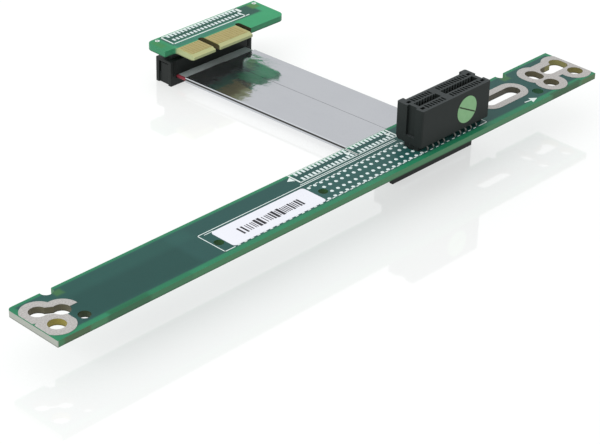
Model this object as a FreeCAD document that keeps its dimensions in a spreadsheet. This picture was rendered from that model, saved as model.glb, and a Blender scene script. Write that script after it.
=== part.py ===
"""Flexible riser card: a long slot board and a small plug card joined by a ribbon cable.

Millimetres. +X runs along the slot board, +Y from the slot board to the plug card,
+Z up. The two cable sockets stand on Z = 0 and carry the boards above them.
"""
import FreeCAD, Part
import os
import re
import Sketcher

ORIGIN = -1
START_OF_LINE = 1
END_OF_LINE = 2
CENTRE = 3

# Each size: its name, its value and what it measures.
SIZES = [
    ("board_length", 179.0, "slot board, left end to right end"),
    ("board_width", 16.4, "slot board, front edge to rear edge"),
    ("board_thick", 1.6, "both boards"),
    ("corner_round", 1.2, "rear left corner of the slot board"),
    ("ribbon_free", 69.9, "between the facing sides of the two sockets"),
    ("ribbon_skew", 3.6, "the plug socket stands this far to the left"),
    ("socket_past", 0.6, "socket past the rear edge of its board"),
    ("mount_hole", 4.1, "round mounting hole, across"),
    ("small_hole", 2.9, "unplated tooling hole, across"),
    ("hole_line", 4.5, "right mounting holes from the front edge"),
    ("left_line", 4.9, "left mounting hole from the front edge"),
    ("small_line", 3.8, "tooling holes from the front edge"),
    ("left_hole", 3.9, "left mounting hole from the left end"),
    ("right_hole", 2.8, "outer right mounting hole from the right end"),
    ("hole_span", 9.9, "between the two right mounting holes"),
    ("lobe_line", 11.05, "large lobe of the left keyhole from the front edge"),
    ("lobe_shift", 4.15, "small lobe to the right of the large lobe"),
    ("lobe_drop", 2.6, "small lobe in front of the large lobe"),
    ("neck", 2.8, "neck between the two lobes, across"),
    ("oval_width", 3.9, "upright ovals at the right end, across"),
    ("oval_front", 9.35, "front centre of the upright ovals"),
    ("oval_rise", 1.35, "between the two centres of an upright oval"),
    ("side_slot_reach", 5.25, "slot to the left of the outer oval"),
    ("long_slot", 9.15, "long slot, between its two centres"),
    ("long_slot_left", 146.15, "left centre of the long slot"),
    ("long_slot_line", 8.35, "long slot from the front edge"),
    ("notch_left", 10.25, "left edge notch from the left end"),
    ("notch_span", 149.6, "between the two edge notches"),
    ("notch_width", 3.1, "edge notch, across"),
    ("notch_deep", 1.9, "edge notch, from the rear edge"),
    ("land_ring", 1.95, "tinned land around a slot, an oval or a lobe"),
    ("hole_ring", 2.1, "tinned land around a round mounting hole"),
    ("land_thick", 0.1, "tinned copper and solder above the board"),
    ("land_edge", 0.2, "bare edge beside the left land"),
    ("bare_shift", 0.2, "bare patch past the middle of the small lobe, to the left and rear"),
    ("cusp", 0.7, "bare corner between the left lands, along the edge"),
    ("cusp_line", 7.9, "that corner from the front edge"),
    ("bridge_line", 5.4, "land between the right holes from the front edge"),
    ("bridge_depth", 8.2, "land between the right holes, across the board"),
    ("slot_line", 5.55, "centre of the slot from the front edge"),
    ("pin_one", 134.65, "first contact of the slot from the left end"),
    ("contact_pitch", 1.0, "between contacts of one side"),
    ("key_gap", 3.0, "between contacts 11 and 12, across the key"),
    ("row_inner", 1.25, "inner solder row from the slot centre"),
    ("row_outer", 3.25, "outer solder row from the slot centre"),
    ("open_left", 81.65, "first solder dot of the open footprint from the left end"),
    ("dot_across", 1.05, "solder dot of the open footprint, across"),
    ("outer_dots", 17, "solder dots in each outer row"),
    ("inner_dots", 15, "solder dots in each inner row"),
    ("peg_hole", 2.35, "hole for a locating peg, across"),
    ("peg_across", 2.2, "locating peg, across"),
    ("peg_below", 0.6, "peg past the underside of the board"),
    ("peg_short", 9.15, "key peg to the end peg of the fitted slot"),
    ("peg_middle", 40.15, "key peg to the first spare peg hole"),
    ("peg_long", 73.15, "key peg to the last spare peg hole"),
    ("slot_length", 25.0, "slot housing"),
    ("slot_depth", 7.4, "slot housing"),
    ("slot_height", 11.25, "slot housing above the board"),
    ("slot_relief", 1.5, "clear space under the housing walls"),
    ("end_margin", 3.0, "last contact to the end of the housing"),
    ("card_gap", 1.9, "card slot, across"),
    ("card_deep", 8.0, "card slot, from the top"),
    ("card_end", 1.25, "card slot past its last contact"),
    ("key_bridge", 1.7, "bridge between the two card slots"),
    ("cavity_width", 0.6, "contact cavity along the slot"),
    ("cavity_inner", 1.45, "near side of a cavity from the slot centre"),
    ("cavity_outer", 2.95, "far side of a cavity from the slot centre"),
    ("window_top", 10.4, "top of the opening from cavity to card slot"),
    ("window_base", 3.4, "bottom of that opening"),
    ("core_length", 1.3, "core hole at each housing end, along the slot"),
    ("core_depth", 0.9, "core hole at each housing end, across"),
    ("core_deep", 3.0, "core hole, from the top"),
    ("core_inset", 0.9, "core hole in from the end of the housing"),
    ("end_recess", 0.7, "recess in each end of the housing"),
    ("recess_width", 2.6, "that recess, across"),
    ("recess_base", 3.4, "that recess starts this far above the board"),
    ("rib_length", 2.2, "rib behind each end of the housing, along the slot"),
    ("rib_reach", 0.9, "that rib past the rear face of the housing"),
    ("rib_base", 2.6, "underside of that rib above the board"),
    ("foot_inset", 0.7, "foot in from the end of the housing"),
    ("foot_width", 1.8, "foot under the housing, along the slot"),
    ("foot_depth", 4.4, "foot under the housing, across"),
    ("strip_width", 0.4, "contact strip, along the slot"),
    ("strip_thick", 0.2, "contact strip"),
    ("tail_rise", 0.5, "upright part of a contact tail"),
    ("knee_rise", 1.4, "where the strip enters its cavity"),
    ("spine", 2.2, "strip at the knee, from the slot centre"),
    ("nip", 0.8, "strip where it meets the card, from the slot centre"),
    ("nip_rise", 7.0, "height of that point"),
    ("lip", 1.7, "top of the strip, from the slot centre"),
    ("lip_rise", 8.8, "height of the top of the strip"),
    ("tip_width", 0.45, "tail tip under the board, square"),
    ("tip_drop", 0.9, "tail tip below the board"),
    ("sticker_across", 7.0, "round sticker on the housing front"),
    ("sticker_left", 16.4, "its centre from the left end of the housing"),
    ("sticker_rise", 6.35, "its centre above the board"),
    ("paper_thick", 0.08, "sticker and label"),
    ("label_left", 51.4, "label from the left end of the board"),
    ("label_front", 2.0, "label from the front edge"),
    ("label_length", 29.2, "label"),
    ("label_width", 7.8, "label"),
    ("label_round", 0.9, "label corners"),
    ("fine_pitch", 1.27, "cable header and its spare footprints"),
    ("long_row_left", 83.55, "first land of the longer spare footprint"),
    ("long_row_count", 14, "lands in each row of the longer footprint"),
    ("short_row_left", 102.85, "first land of the shorter spare footprint"),
    ("short_row_count", 10, "lands in each row of the shorter footprint"),
    ("spare_line", 12.8, "front row of spare lands from the front edge"),
    ("spare_rows", 2.5, "between the two rows of spare lands"),
    ("land_width", 0.65, "spare land, along the board"),
    ("land_depth", 1.2, "spare land, across the board"),
    ("cable_ways", 20, "contacts in each row of the cable connectors"),
    ("socket_left", 114.0, "main cable socket from the left end of the board"),
    ("socket_length", 29.9, "cable socket"),
    ("socket_depth", 5.8, "cable socket"),
    ("socket_height", 7.1, "cable socket"),
    ("cover_height", 2.0, "cable cover under the ribbon"),
    ("channel_slack", 0.35, "channel of the cover past each side of the ribbon"),
    ("latch_recess", 0.9, "recess in each end of the socket"),
    ("latch_width", 3.6, "that recess, across"),
    ("latch_top", 6.3, "top of that recess"),
    ("leg_thick", 0.45, "latch leg of the cover"),
    ("leg_width", 3.0, "latch leg of the cover, across"),
    ("leg_top", 5.8, "top of the latch leg"),
    ("groove", 0.25, "groove in the cable side of the socket"),
    ("chamber", 1.0, "chamber for one row of contacts, across"),
    ("chamber_shift", 0.2, "that chamber outwards from its row of pins"),
    ("chamber_length", 25.2, "chamber for one row of contacts"),
    ("header_height", 3.8, "header between socket and board"),
    ("header_length", 26.6, "header"),
    ("header_depth", 3.4, "header"),
    ("pin_across", 0.4, "header pin, square"),
    ("pin_slot", 0.46, "slot that holds a row of pins, across"),
    ("pin_drop", 3.1, "header pin inside the socket"),
    ("tail_thick", 0.3, "header tail on the underside of the board"),
    ("tail_reach", 2.2, "header tail from the middle of the header"),
    ("blade_thick", 0.2, "cable contact"),
    ("blade_width", 0.6, "cable contact, along the row"),
    ("blade_top", 6.0, "top of a cable contact"),
    ("wire_pitch", 0.635, "between wires of the ribbon"),
    ("wire_count", 40, "wires in the ribbon"),
    ("ribbon_thick", 0.9, "ribbon"),
    ("web_height", 0.45, "where two wires join"),
    ("wire_flat", 0.3, "flat on top of a wire"),
    ("wrap_thick", 0.15, "film around the ribbon"),
    ("wrap_gap", 0.03, "film clear of the ribbon"),
    ("wrap_seam", 14.4, "overlap of the film, from its left side"),
    ("bare_length", 3.2, "bare ribbon beside each socket"),
    ("card_length", 39.8, "plug card"),
    ("card_depth", 14.7, "plug card, tongue tip to rear edge"),
    ("card_socket_left", 4.2, "plug socket from the left end of the card"),
    ("tongue_left", 3.8, "tongue from the left end of the card"),
    ("tongue_width", 21.2, "tongue"),
    ("key_edge", 7.65, "left side of the tongue to its key notch"),
    ("key_notch", 1.9, "key notch, across"),
    ("key_deep", 7.3, "key notch, from the tip"),
    ("side_gap", 1.75, "gap beside the tongue"),
    ("side_deep", 7.2, "that gap, from the tip"),
    ("left_ear", 7.1, "front of the left ear from the tip"),
    ("right_ear", 2.5, "front of the right ear from the tip"),
    ("ear_round", 2.2, "rounded corners of the plug card"),
    ("root_round", 1.0, "rounding where the tongue leaves the left ear"),
    ("notch_round", 0.8, "rounded ends of the notch and the gap"),
    ("bevel_run", 1.2, "bevel of the tongue, along the tongue"),
    ("bevel_drop", 0.45, "bevel of the tongue, in the thickness"),
    ("finger_front", 1.3, "gold finger from the tip"),
    ("finger_length", 5.0, "gold finger"),
    ("finger_width", 0.7, "gold finger"),
    ("finger_thick", 0.08, "gold finger above the card"),
    ("tool_hole", 0.8, "small holes in the plug card, across"),
    ("tool_left", 3.05, "left small hole from the left end"),
    ("tool_right", 1.15, "right small hole from the right end"),
    ("tool_line", 13.4, "small holes from the tip"),
    ("card_row_left", 6.4, "first spare land of the plug card"),
    ("card_row_line", 10.9, "front row of its spare lands from the tip"),
    ("card_rows", 2.4, "between the two rows of its spare lands"),
]

# Sizes that follow from the others.
DERIVED = [
    ("total_depth", "board_width + socket_past + ribbon_free + socket_depth"),
    ("board_under", "socket_height + header_height"),
    ("board_x", "0 - board_length / 2"),
    ("board_y", "0 - total_depth / 2"),
    ("main_socket_x", "board_x + socket_left"),
    ("cable_face", "board_y + board_width + socket_past"),
    ("plug_socket_x", "main_socket_x - ribbon_skew"),
    ("plug_socket_y", "cable_face + ribbon_free"),
    ("card_x", "plug_socket_x - card_socket_left"),
    ("card_y", "total_depth / 2 - socket_past - card_depth"),
    ("key_x", "pin_one - 10 * contact_pitch - key_gap / 2"),
    ("pin_twelve", "pin_one - 10 * contact_pitch - key_gap"),
    ("pin_last", "pin_twelve - 6 * contact_pitch"),
    ("housing_x", "pin_one + end_margin - slot_length"),
    ("row_pitch", "2 * contact_pitch"),
    ("ribbon_width", "wire_count * wire_pitch"),
    ("ribbon_margin", "(socket_length - ribbon_width) / 2"),
    ("ribbon_top", "cover_height + ribbon_thick"),
    ("pin_margin", "(socket_length - (cable_ways - 1) * fine_pitch) / 2"),
    ("key_middle", "tongue_left + key_edge + key_notch / 2"),
    ("lean_length", "(ribbon_free ^ 2 + ribbon_skew ^ 2) ^ 0.5"),
    ("hole_right", "board_length - right_hole"),
    ("hole_left", "board_length - right_hole - hole_span"),
    ("small_lobe_x", "left_hole + lobe_shift"),
    ("small_lobe_y", "lobe_line - lobe_drop"),
    ("land_across", "mount_hole + 2 * land_ring"),
    ("ring_across", "mount_hole + 2 * hole_ring"),
]

doc = FreeCAD.newDocument("riser_card")
sheet = doc.addObject("Spreadsheet::Sheet", "Sizes")


def fill_sheet():
    """Write every size on the sheet, each with its name and its meaning."""
    row = 1
    for name, value, meaning in SIZES:
        sheet.set("A%d" % row, name)
        sheet.set("B%d" % row, str(value))
        sheet.set("C%d" % row, meaning)
        sheet.setAlias("B%d" % row, name)
        row += 1
    for name, formula in DERIVED:
        sheet.set("A%d" % row, name)
        sheet.set("B%d" % row, "=" + formula)
        sheet.setAlias("B%d" % row, name)
        row += 1
    doc.recompute()


def sized(formula):
    """Give a formula of sizes the sheet's name in front of each size."""
    return re.sub(r"\b([a-z_]\w*)", r"Sizes.\1", formula)


def value_of(formula):
    """The present value of a formula of sizes."""
    return float(sheet.evalExpression(sized(formula)))


def drive(item, **formulas):
    """Tie properties of an object to formulas of sizes."""
    for prop, formula in formulas.items():
        item.setExpression(prop, sized(formula))


def put(item, x, y, z):
    """Tie the place of an object to three formulas of sizes."""
    item.setExpression("Placement.Base.x", sized(x))
    item.setExpression("Placement.Base.y", sized(y))
    item.setExpression("Placement.Base.z", sized(z))


def new_body(label):
    """A body that may hold several separate solids."""
    body = doc.addObject("PartDesign::Body", label)
    body.Label = label
    body.AllowCompound = True
    return body


def origin_item(body, role):
    """One of the planes or axes of a body's origin."""
    for item in body.Origin.OriginFeatures:
        if item.Role == role:
            return item
    raise ValueError(role)


class Outline:
    """A sketch on an origin plane of a body, driven by the sizes throughout."""

    def __init__(self, body, label, plane="XY_Plane", lift="0", shift="0"):
        self.sketch = body.newObject("Sketcher::SketchObject", label)
        self.sketch.AttachmentSupport = (origin_item(body, plane), [""])
        self.sketch.MapMode = "FlatFace"
        self.sketch.setExpression("AttachmentOffset.Base.z", sized(lift))
        self.sketch.setExpression("AttachmentOffset.Base.x", sized(shift))

    def hold(self, kind, geometry, point, formula):
        """Fix the distance of a point from the origin along one direction."""
        if formula == "0":
            axis = -2 if kind == "DistanceX" else -1
            self.sketch.addConstraint(
                Sketcher.Constraint("PointOnObject", geometry, point, axis))
            return
        index = self.sketch.addConstraint(Sketcher.Constraint(
            kind, ORIGIN, 1, geometry, point, value_of(formula)))
        self.sketch.setExpression("Constraints[%d]" % index, sized(formula))

    def radius(self, geometry, across):
        """Fix the radius of a circle or arc to half of its width across."""
        index = self.sketch.addConstraint(Sketcher.Constraint(
            "Radius", geometry, value_of(across) / 2))
        self.sketch.setExpression(
            "Constraints[%d]" % index, "(" + sized(across) + ") / 2")

    def polygon(self, corners):
        """Add a closed outline through the given corners."""
        spots = [FreeCAD.Vector(value_of(x), value_of(y), 0) for x, y in corners]
        first = self.sketch.GeometryCount
        count = len(corners)
        for i in range(count):
            line = Part.LineSegment(spots[i], spots[(i + 1) % count])
            self.sketch.addGeometry(line, False)
        for i in range(count):
            following = first + (i + 1) % count
            self.sketch.addConstraint(Sketcher.Constraint(
                "Coincident", first + i, END_OF_LINE, following, START_OF_LINE))
        for i in range(count):
            self.hold("DistanceX", first + i, START_OF_LINE, corners[i][0])
            self.hold("DistanceY", first + i, START_OF_LINE, corners[i][1])

    def rectangle(self, left, front, right, rear):
        """Add a rectangle by its four sides."""
        self.polygon([(left, front), (right, front), (right, rear), (left, rear)])

    def circle(self, x, y, across):
        """Add a circle by its centre and its width across."""
        middle = FreeCAD.Vector(value_of(x), value_of(y), 0)
        index = self.sketch.addGeometry(Part.Circle(
            middle, FreeCAD.Vector(0, 0, 1), value_of(across) / 2), False)
        self.hold("DistanceX", index, CENTRE, x)
        self.hold("DistanceY", index, CENTRE, y)
        self.radius(index, across)

    def oblong(self, x_one, y_one, x_two, y_two, across):
        """Add a round-ended slot between two centres."""
        one = FreeCAD.Vector(value_of(x_one), value_of(y_one), 0)
        two = FreeCAD.Vector(value_of(x_two), value_of(y_two), 0)
        half = value_of(across) / 2
        along = (two - one).normalize()
        side = FreeCAD.Vector(-along.y, along.x, 0) * half
        near = self.sketch.addGeometry(
            Part.Arc(one + side, one - along * half, one - side), False)
        right = self.sketch.addGeometry(Part.LineSegment(one - side, two - side), False)
        far = self.sketch.addGeometry(
            Part.Arc(two - side, two + along * half, two + side), False)
        left = self.sketch.addGeometry(Part.LineSegment(two + side, one + side), False)
        ring = [near, right, far, left]
        for i in range(4):
            self.sketch.addConstraint(Sketcher.Constraint(
                "Tangent", ring[i], END_OF_LINE, ring[(i + 1) % 4], START_OF_LINE))
        self.sketch.addConstraint(Sketcher.Constraint("Equal", near, far))
        self.hold("DistanceX", near, CENTRE, x_one)
        self.hold("DistanceY", near, CENTRE, y_one)
        self.hold("DistanceX", far, CENTRE, x_two)
        self.hold("DistanceY", far, CENTRE, y_two)
        self.radius(near, across)


def pad(body, outline, length, back=False):
    """Raise a sketch into solid material."""
    feature = body.newObject("PartDesign::Pad", outline.sketch.Name + "_pad")
    feature.Profile = (outline.sketch, [""])
    feature.Reversed = back
    drive(feature, Length=length)
    body.Tip = feature
    return feature


def slanted_pad(body, outline, reach):
    """Raise a sketch towards the rear over a reach, along the lean of the ribbon."""
    feature = body.newObject("PartDesign::Pad", outline.sketch.Name + "_pad")
    feature.Profile = (outline.sketch, [""])
    feature.UseCustomVector = True
    feature.AlongSketchNormal = False
    feature.Direction = FreeCAD.Vector(-value_of("ribbon_skew"), value_of("ribbon_free"), 0)
    drive(feature, Length="(%s) * lean_length / ribbon_free" % reach)
    feature.setExpression("Direction.x", sized("0 - ribbon_skew"))
    feature.setExpression("Direction.y", sized("ribbon_free"))
    body.Tip = feature
    return feature


def cut(body, outline, deep=None):
    """Cut a sketch down into the body, right through when no depth is given."""
    feature = body.newObject("PartDesign::Pocket", outline.sketch.Name + "_cut")
    feature.Profile = (outline.sketch, [""])
    if deep is None:
        feature.Type = "ThroughAll"
    else:
        feature.Type = "Length"
        drive(feature, Length=deep)
    body.Tip = feature
    return feature


def pattern(body, name, axis, pitch, count):
    """A row along one axis of the body, at a pitch."""
    feature = body.newObject("PartDesign::LinearPattern", name)
    feature.Direction = (origin_item(body, axis), [""])
    feature.Mode = "Spacing"
    drive(feature, Offset=pitch, Occurrences=count)
    return feature


def repeat(body, original, pitch, count):
    """Repeat a feature along X."""
    feature = pattern(body, original.Name + "_row", "X_Axis", pitch, count)
    feature.Originals = [original]
    body.Tip = feature
    return feature


def repeat_behind(body, original, row_pitch):
    """Repeat a feature once, a row pitch further to the rear."""
    feature = pattern(body, original.Name + "_behind", "Y_Axis", row_pitch, "2")
    feature.Originals = [original]
    body.Tip = feature
    return feature


def two_rows(body, original, pitch, count, row_pitch):
    """Repeat a feature along X and in a second row behind the first."""
    feature = body.newObject("PartDesign::MultiTransform", original.Name + "_rows")
    along = pattern(body, original.Name + "_along", "X_Axis", pitch, count)
    behind = pattern(body, original.Name + "_behind", "Y_Axis", row_pitch, "2")
    feature.Originals = [original]
    feature.Transformations = [along, behind]
    body.Tip = feature
    return feature


def block(body, name, x, y, z, length, width, height):
    """Add a plain block to a body."""
    feature = body.newObject("PartDesign::AdditiveBox", name)
    drive(feature, Length=length, Width=width, Height=height)
    put(feature, x, y, z)
    body.Tip = feature
    return feature


def upright_edges(shape, spots):
    """Names of the upright edges of a shape that stand on the given spots."""
    found = []
    for number, edge in enumerate(shape.Edges, 1):
        box = edge.BoundBox
        if box.XLength + box.YLength > 0.001:
            continue
        for x, y in spots:
            if abs(box.Center.x - value_of(x)) + abs(box.Center.y - value_of(y)) < 0.01:
                found.append("Edge%d" % number)
    return found


def round_corners(body, name, radius, spots):
    """Round the upright edges of a body at the given spots."""
    doc.recompute()
    base = body.Tip
    feature = body.newObject("PartDesign::Fillet", name)
    feature.Base = (base, upright_edges(base.Shape, spots))
    drive(feature, Radius=radius)
    body.Tip = feature
    return feature


def hollow(body, name, x, y, z, length, width, height):
    """Cut a plain block out of a body."""
    feature = body.newObject("PartDesign::SubtractiveBox", name)
    drive(feature, Length=length, Width=width, Height=height)
    put(feature, x, y, z)
    body.Tip = feature
    return feature


def disc(body, name, x, y, z, across, height):
    """Add an upright round disc or peg to a body."""
    feature = body.newObject("PartDesign::AdditiveCylinder", name)
    drive(feature, Radius="(%s) / 2" % across, Height=height)
    put(feature, x, y, z)
    body.Tip = feature
    return feature


def dot(body, name, x, y, z, across, height):
    """Add a small six-sided solder dot to a body."""
    feature = body.newObject("PartDesign::AdditivePrism", name)
    feature.Polygon = 6
    drive(feature, Circumradius="(%s) / 2" % across, Height=height)
    put(feature, x, y, z)
    body.Tip = feature
    return feature


def on_slot_board(body):
    """Place a body whose origin is the lower front left corner of the slot board."""
    put(body, "board_x", "board_y", "board_under")
    return body


def on_plug_card(body):
    """Place a body whose origin is the left end of the plug card, at its tip line."""
    put(body, "card_x", "card_y", "board_under")
    return body


def left_openings(body, name, lift):
    """Cut the mounting hole and the keyhole of the left end."""
    rounds = Outline(body, name + "_holes", lift=lift)
    rounds.circle("left_hole", "left_line", "mount_hole")
    rounds.circle("left_hole", "lobe_line", "mount_hole")
    rounds.circle("small_lobe_x", "small_lobe_y", "mount_hole")
    cut(body, rounds)
    neck = Outline(body, name + "_neck", lift=lift)
    neck.oblong("left_hole", "lobe_line", "small_lobe_x", "small_lobe_y", "neck")
    cut(body, neck)


def right_openings(body, name, lift):
    """Cut the two holes, the two ovals and the sideways slot of the right end."""
    rounds = Outline(body, name + "_holes", lift=lift)
    rounds.circle("hole_left", "hole_line", "mount_hole")
    rounds.circle("hole_right", "hole_line", "mount_hole")
    for x in ("hole_left", "hole_right"):
        rounds.oblong(x, "oval_front", x, "oval_front + oval_rise", "oval_width")
    cut(body, rounds)
    side = Outline(body, name + "_side", lift=lift)
    side.oblong("hole_right - side_slot_reach", "oval_front",
                "hole_right", "oval_front", "oval_width")
    cut(body, side)


def middle_opening(body, name, lift):
    """Cut the long slot between the connector and the right end."""
    slot = Outline(body, name + "_slot", lift=lift)
    slot.oblong("long_slot_left", "long_slot_line",
                "long_slot_left + long_slot", "long_slot_line", "mount_hole")
    cut(body, slot)


def make_slot_board():
    """The long board with its holes, keyhole, slots and edge notches."""
    body = on_slot_board(new_body("main_board"))
    plan = Outline(body, "board_plan")
    plan.rectangle("0", "0", "board_length", "board_width")
    pad(body, plan, "board_thick")
    round_corners(body, "corner", "corner_round", [("0", "board_width")])
    left_openings(body, "left", "board_thick")
    right_openings(body, "right", "board_thick")
    middle_opening(body, "middle", "board_thick")
    tooling = Outline(body, "tooling", lift="board_thick")
    for x in ("notch_left", "notch_left + notch_span"):
        tooling.circle(x, "small_line", "small_hole")
        tooling.oblong(x, "board_width - notch_deep + notch_width / 2",
                       x, "board_width + notch_width", "notch_width")
    cut(body, tooling)
    pegs = Outline(body, "pegs", lift="board_thick")
    for x in ("key_x", "key_x - peg_short", "key_x - peg_middle", "key_x - peg_long"):
        pegs.circle(x, "slot_line", "peg_hole")
    cut(body, pegs)


def make_lands():
    """The tinned ground lands around the mounting holes and the long slot."""
    body = on_slot_board(new_body("ground_lands"))
    disc(body, "land_one", "left_hole", "left_line", "board_thick", "ring_across", "land_thick")
    disc(body, "land_two", "left_hole", "lobe_line", "board_thick", "land_across", "land_thick")
    disc(body, "land_three", "small_lobe_x", "small_lobe_y", "board_thick",
         "land_across", "land_thick")
    block(body, "between", "0", "left_line", "board_thick",
          "left_hole", "lobe_line - left_line", "land_thick")
    corner = Outline(body, "cusp_outline", lift="board_thick + land_thick")
    corner.polygon([("0", "cusp_line - cusp / 2"), ("land_edge", "cusp_line - cusp / 2"),
                    ("land_edge + cusp", "cusp_line"), ("land_edge", "cusp_line + cusp / 2"),
                    ("0", "cusp_line + cusp / 2")])
    cut(body, corner)
    hollow(body, "edge_clear", "0 - land_across", "0", "board_thick",
           "land_across + land_edge", "board_width", "land_thick")
    hollow(body, "bare_patch", "small_lobe_x - bare_shift", "small_line", "board_thick",
           "land_across", "small_lobe_y - small_line - bare_shift", "land_thick")
    left_openings(body, "left_land", "board_thick + land_thick")

    for number, x in enumerate(("hole_left", "hole_right")):
        disc(body, "ring_%d" % number, x, "hole_line", "board_thick",
             "ring_across", "land_thick")
        oval = Outline(body, "oval_%d" % number, lift="board_thick")
        oval.oblong(x, "oval_front", x, "oval_front + oval_rise", "land_across")
        pad(body, oval, "land_thick")
    block(body, "bridge", "hole_left", "bridge_line", "board_thick",
          "hole_span", "bridge_depth", "land_thick")
    hollow(body, "end_clear", "board_length", "0", "board_thick",
           "land_across", "board_width", "land_thick")
    right_openings(body, "right_land", "board_thick + land_thick")

    plan = Outline(body, "middle_plan", lift="board_thick")
    plan.oblong("long_slot_left", "long_slot_line",
                "long_slot_left + long_slot", "long_slot_line", "land_across")
    pad(body, plan, "land_thick")
    middle_opening(body, "middle_land", "board_thick + land_thick")


def make_footprints():
    """The solder dots beside the connector and the spare lands of both boards."""
    dots = on_slot_board(new_body("open_footprint_pads"))
    outer = dot(dots, "outer_dot", "open_left", "slot_line - row_outer",
                "board_thick", "dot_across", "land_thick")
    two_rows(dots, outer, "row_pitch", "outer_dots", "2 * row_outer")
    inner = dot(dots, "inner_dot", "open_left + 3 * contact_pitch",
                "slot_line - row_inner", "board_thick", "dot_across", "land_thick")
    two_rows(dots, inner, "row_pitch", "inner_dots", "2 * row_inner")

    for label, left, count in (
            ("header_pads_long", "long_row_left", "long_row_count"),
            ("header_pads_short", "short_row_left", "short_row_count")):
        lands = on_slot_board(new_body(label))
        land = block(lands, label + "_land", left, "spare_line - land_depth / 2",
                     "board_thick", "land_width", "land_depth", "land_thick")
        two_rows(lands, land, "fine_pitch", count, "spare_rows")

    card = on_plug_card(new_body("plug_header_pads"))
    land = block(card, "card_land", "card_row_left", "card_row_line - land_depth / 2",
                 "board_thick", "land_width", "land_depth", "land_thick")
    two_rows(card, land, "fine_pitch", "cable_ways", "card_rows")


def make_housing():
    """The card edge connector: a moulded housing with its key, cavities and pegs."""
    body = on_slot_board(new_body("slot_housing"))
    front = "slot_line - slot_depth / 2"
    top = "board_thick + slot_height"
    right_end = "housing_x + slot_length"
    block(body, "walls", "housing_x", front, "board_thick + slot_relief",
          "slot_length", "slot_depth", "slot_height - slot_relief")
    rear = "slot_line + slot_depth / 2"
    for number, x in enumerate(("housing_x", right_end + " - rib_length")):
        rib = Outline(body, "rib_%d" % number, "YZ_Plane", lift=x)
        rib.polygon([("slot_line", "board_thick + slot_relief"),
                     (rear, "board_thick + slot_relief"),
                     (rear + " + rib_reach", "board_thick + rib_base"),
                     (rear + " + rib_reach", top), ("slot_line", top)])
        pad(body, rib, "rib_length")
    for number, x in enumerate(
            ("housing_x + foot_inset", right_end + " - foot_inset - foot_width")):
        block(body, "foot_%d" % number, x, "slot_line - foot_depth / 2", "board_thick",
              "foot_width", "foot_depth", "slot_relief")
    for number, x in enumerate(("key_x", "key_x - peg_short")):
        disc(body, "peg_%d" % number, x, "slot_line", "0 - peg_below",
             "peg_across", "board_thick + slot_relief + peg_below")
    slots = (("pin_last - card_end", "key_x - key_bridge / 2 - pin_last + card_end"),
             ("key_x + key_bridge / 2", "pin_one + card_end - key_x - key_bridge / 2"))
    for number, (x, length) in enumerate(slots):
        hollow(body, "card_slot_%d" % number, x, "slot_line - card_gap / 2",
               top + " - card_deep", length, "card_gap", "card_deep")
    for number, (x, count) in enumerate((("pin_last", "7"), ("pin_one - 10 * contact_pitch", "11"))):
        left = x + " - cavity_width / 2"
        well = hollow(body, "cavity_%d" % number, left, "slot_line - cavity_outer",
                      "board_thick + slot_relief", "cavity_width",
                      "cavity_outer - cavity_inner", "slot_height - slot_relief")
        two_rows(body, well, "contact_pitch", count, "cavity_outer + cavity_inner")
        window = hollow(body, "window_%d" % number, left, "slot_line - cavity_inner",
                        "board_thick + window_base", "cavity_width",
                        "2 * cavity_inner", "window_top - window_base")
        repeat(body, window, "contact_pitch", count)
    for number, x in enumerate(("housing_x + core_inset", right_end + " - core_inset - core_length")):
        core = hollow(body, "core_%d" % number, x,
                      "slot_line - (cavity_outer + cavity_inner + core_depth) / 2",
                      top + " - core_deep", "core_length", "core_depth", "core_deep")
        repeat_behind(body, core, "cavity_outer + cavity_inner")
    for number, x in enumerate(("housing_x", right_end + " - end_recess")):
        hollow(body, "end_recess_%d" % number, x, "slot_line - recess_width / 2",
               "board_thick + recess_base", "end_recess", "recess_width",
               "slot_height - recess_base")


def contact_outline(body, name, x, side, foot):
    """The bent strip of one contact, seen along the slot; side is +1 rear or -1 front."""
    word = "slot_line + " if side > 0 else "slot_line - "
    bends = [(foot, "board_thick"),
             (foot, "board_thick + tail_rise"),
             ("spine", "board_thick + knee_rise"),
             ("nip", "board_thick + nip_rise"),
             ("lip", "board_thick + lip_rise")]
    corners = [(word + y, z) for y, z in bends]
    corners += [(word + "(" + y + " + strip_thick)", z) for y, z in reversed(bends)]
    outline = Outline(body, name, "YZ_Plane", lift=x + " - strip_width / 2")
    outline.polygon(corners)
    return outline


CONTACT_RUNS = (
    ("pin_last", "row_outer", "4"),
    ("pin_last + contact_pitch", "row_inner", "3"),
    ("pin_one - 10 * contact_pitch", "row_inner", "6"),
    ("pin_one - 9 * contact_pitch", "row_outer", "5"),
)


def make_contacts():
    """The spring contacts of both sides and their tail tips under the board."""
    for label, side in (("slot_contacts_front", -1), ("slot_contacts_rear", 1)):
        body = on_slot_board(new_body(label))
        for number, (x, foot, count) in enumerate(CONTACT_RUNS):
            strip = pad(body, contact_outline(body, "%s_%d" % (label, number), x, side, foot),
                        "strip_width")
            repeat(body, strip, "row_pitch", count)
    tips = on_slot_board(new_body("slot_tail_tips"))
    for number, (x, foot, count) in enumerate(CONTACT_RUNS):
        tip = block(tips, "tip_%d" % number, x + " - tip_width / 2",
                    "slot_line - %s - tip_width / 2" % foot, "0 - tip_drop",
                    "tip_width", "tip_width", "tip_drop")
        two_rows(tips, tip, "row_pitch", count, "2 * " + foot)


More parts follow.
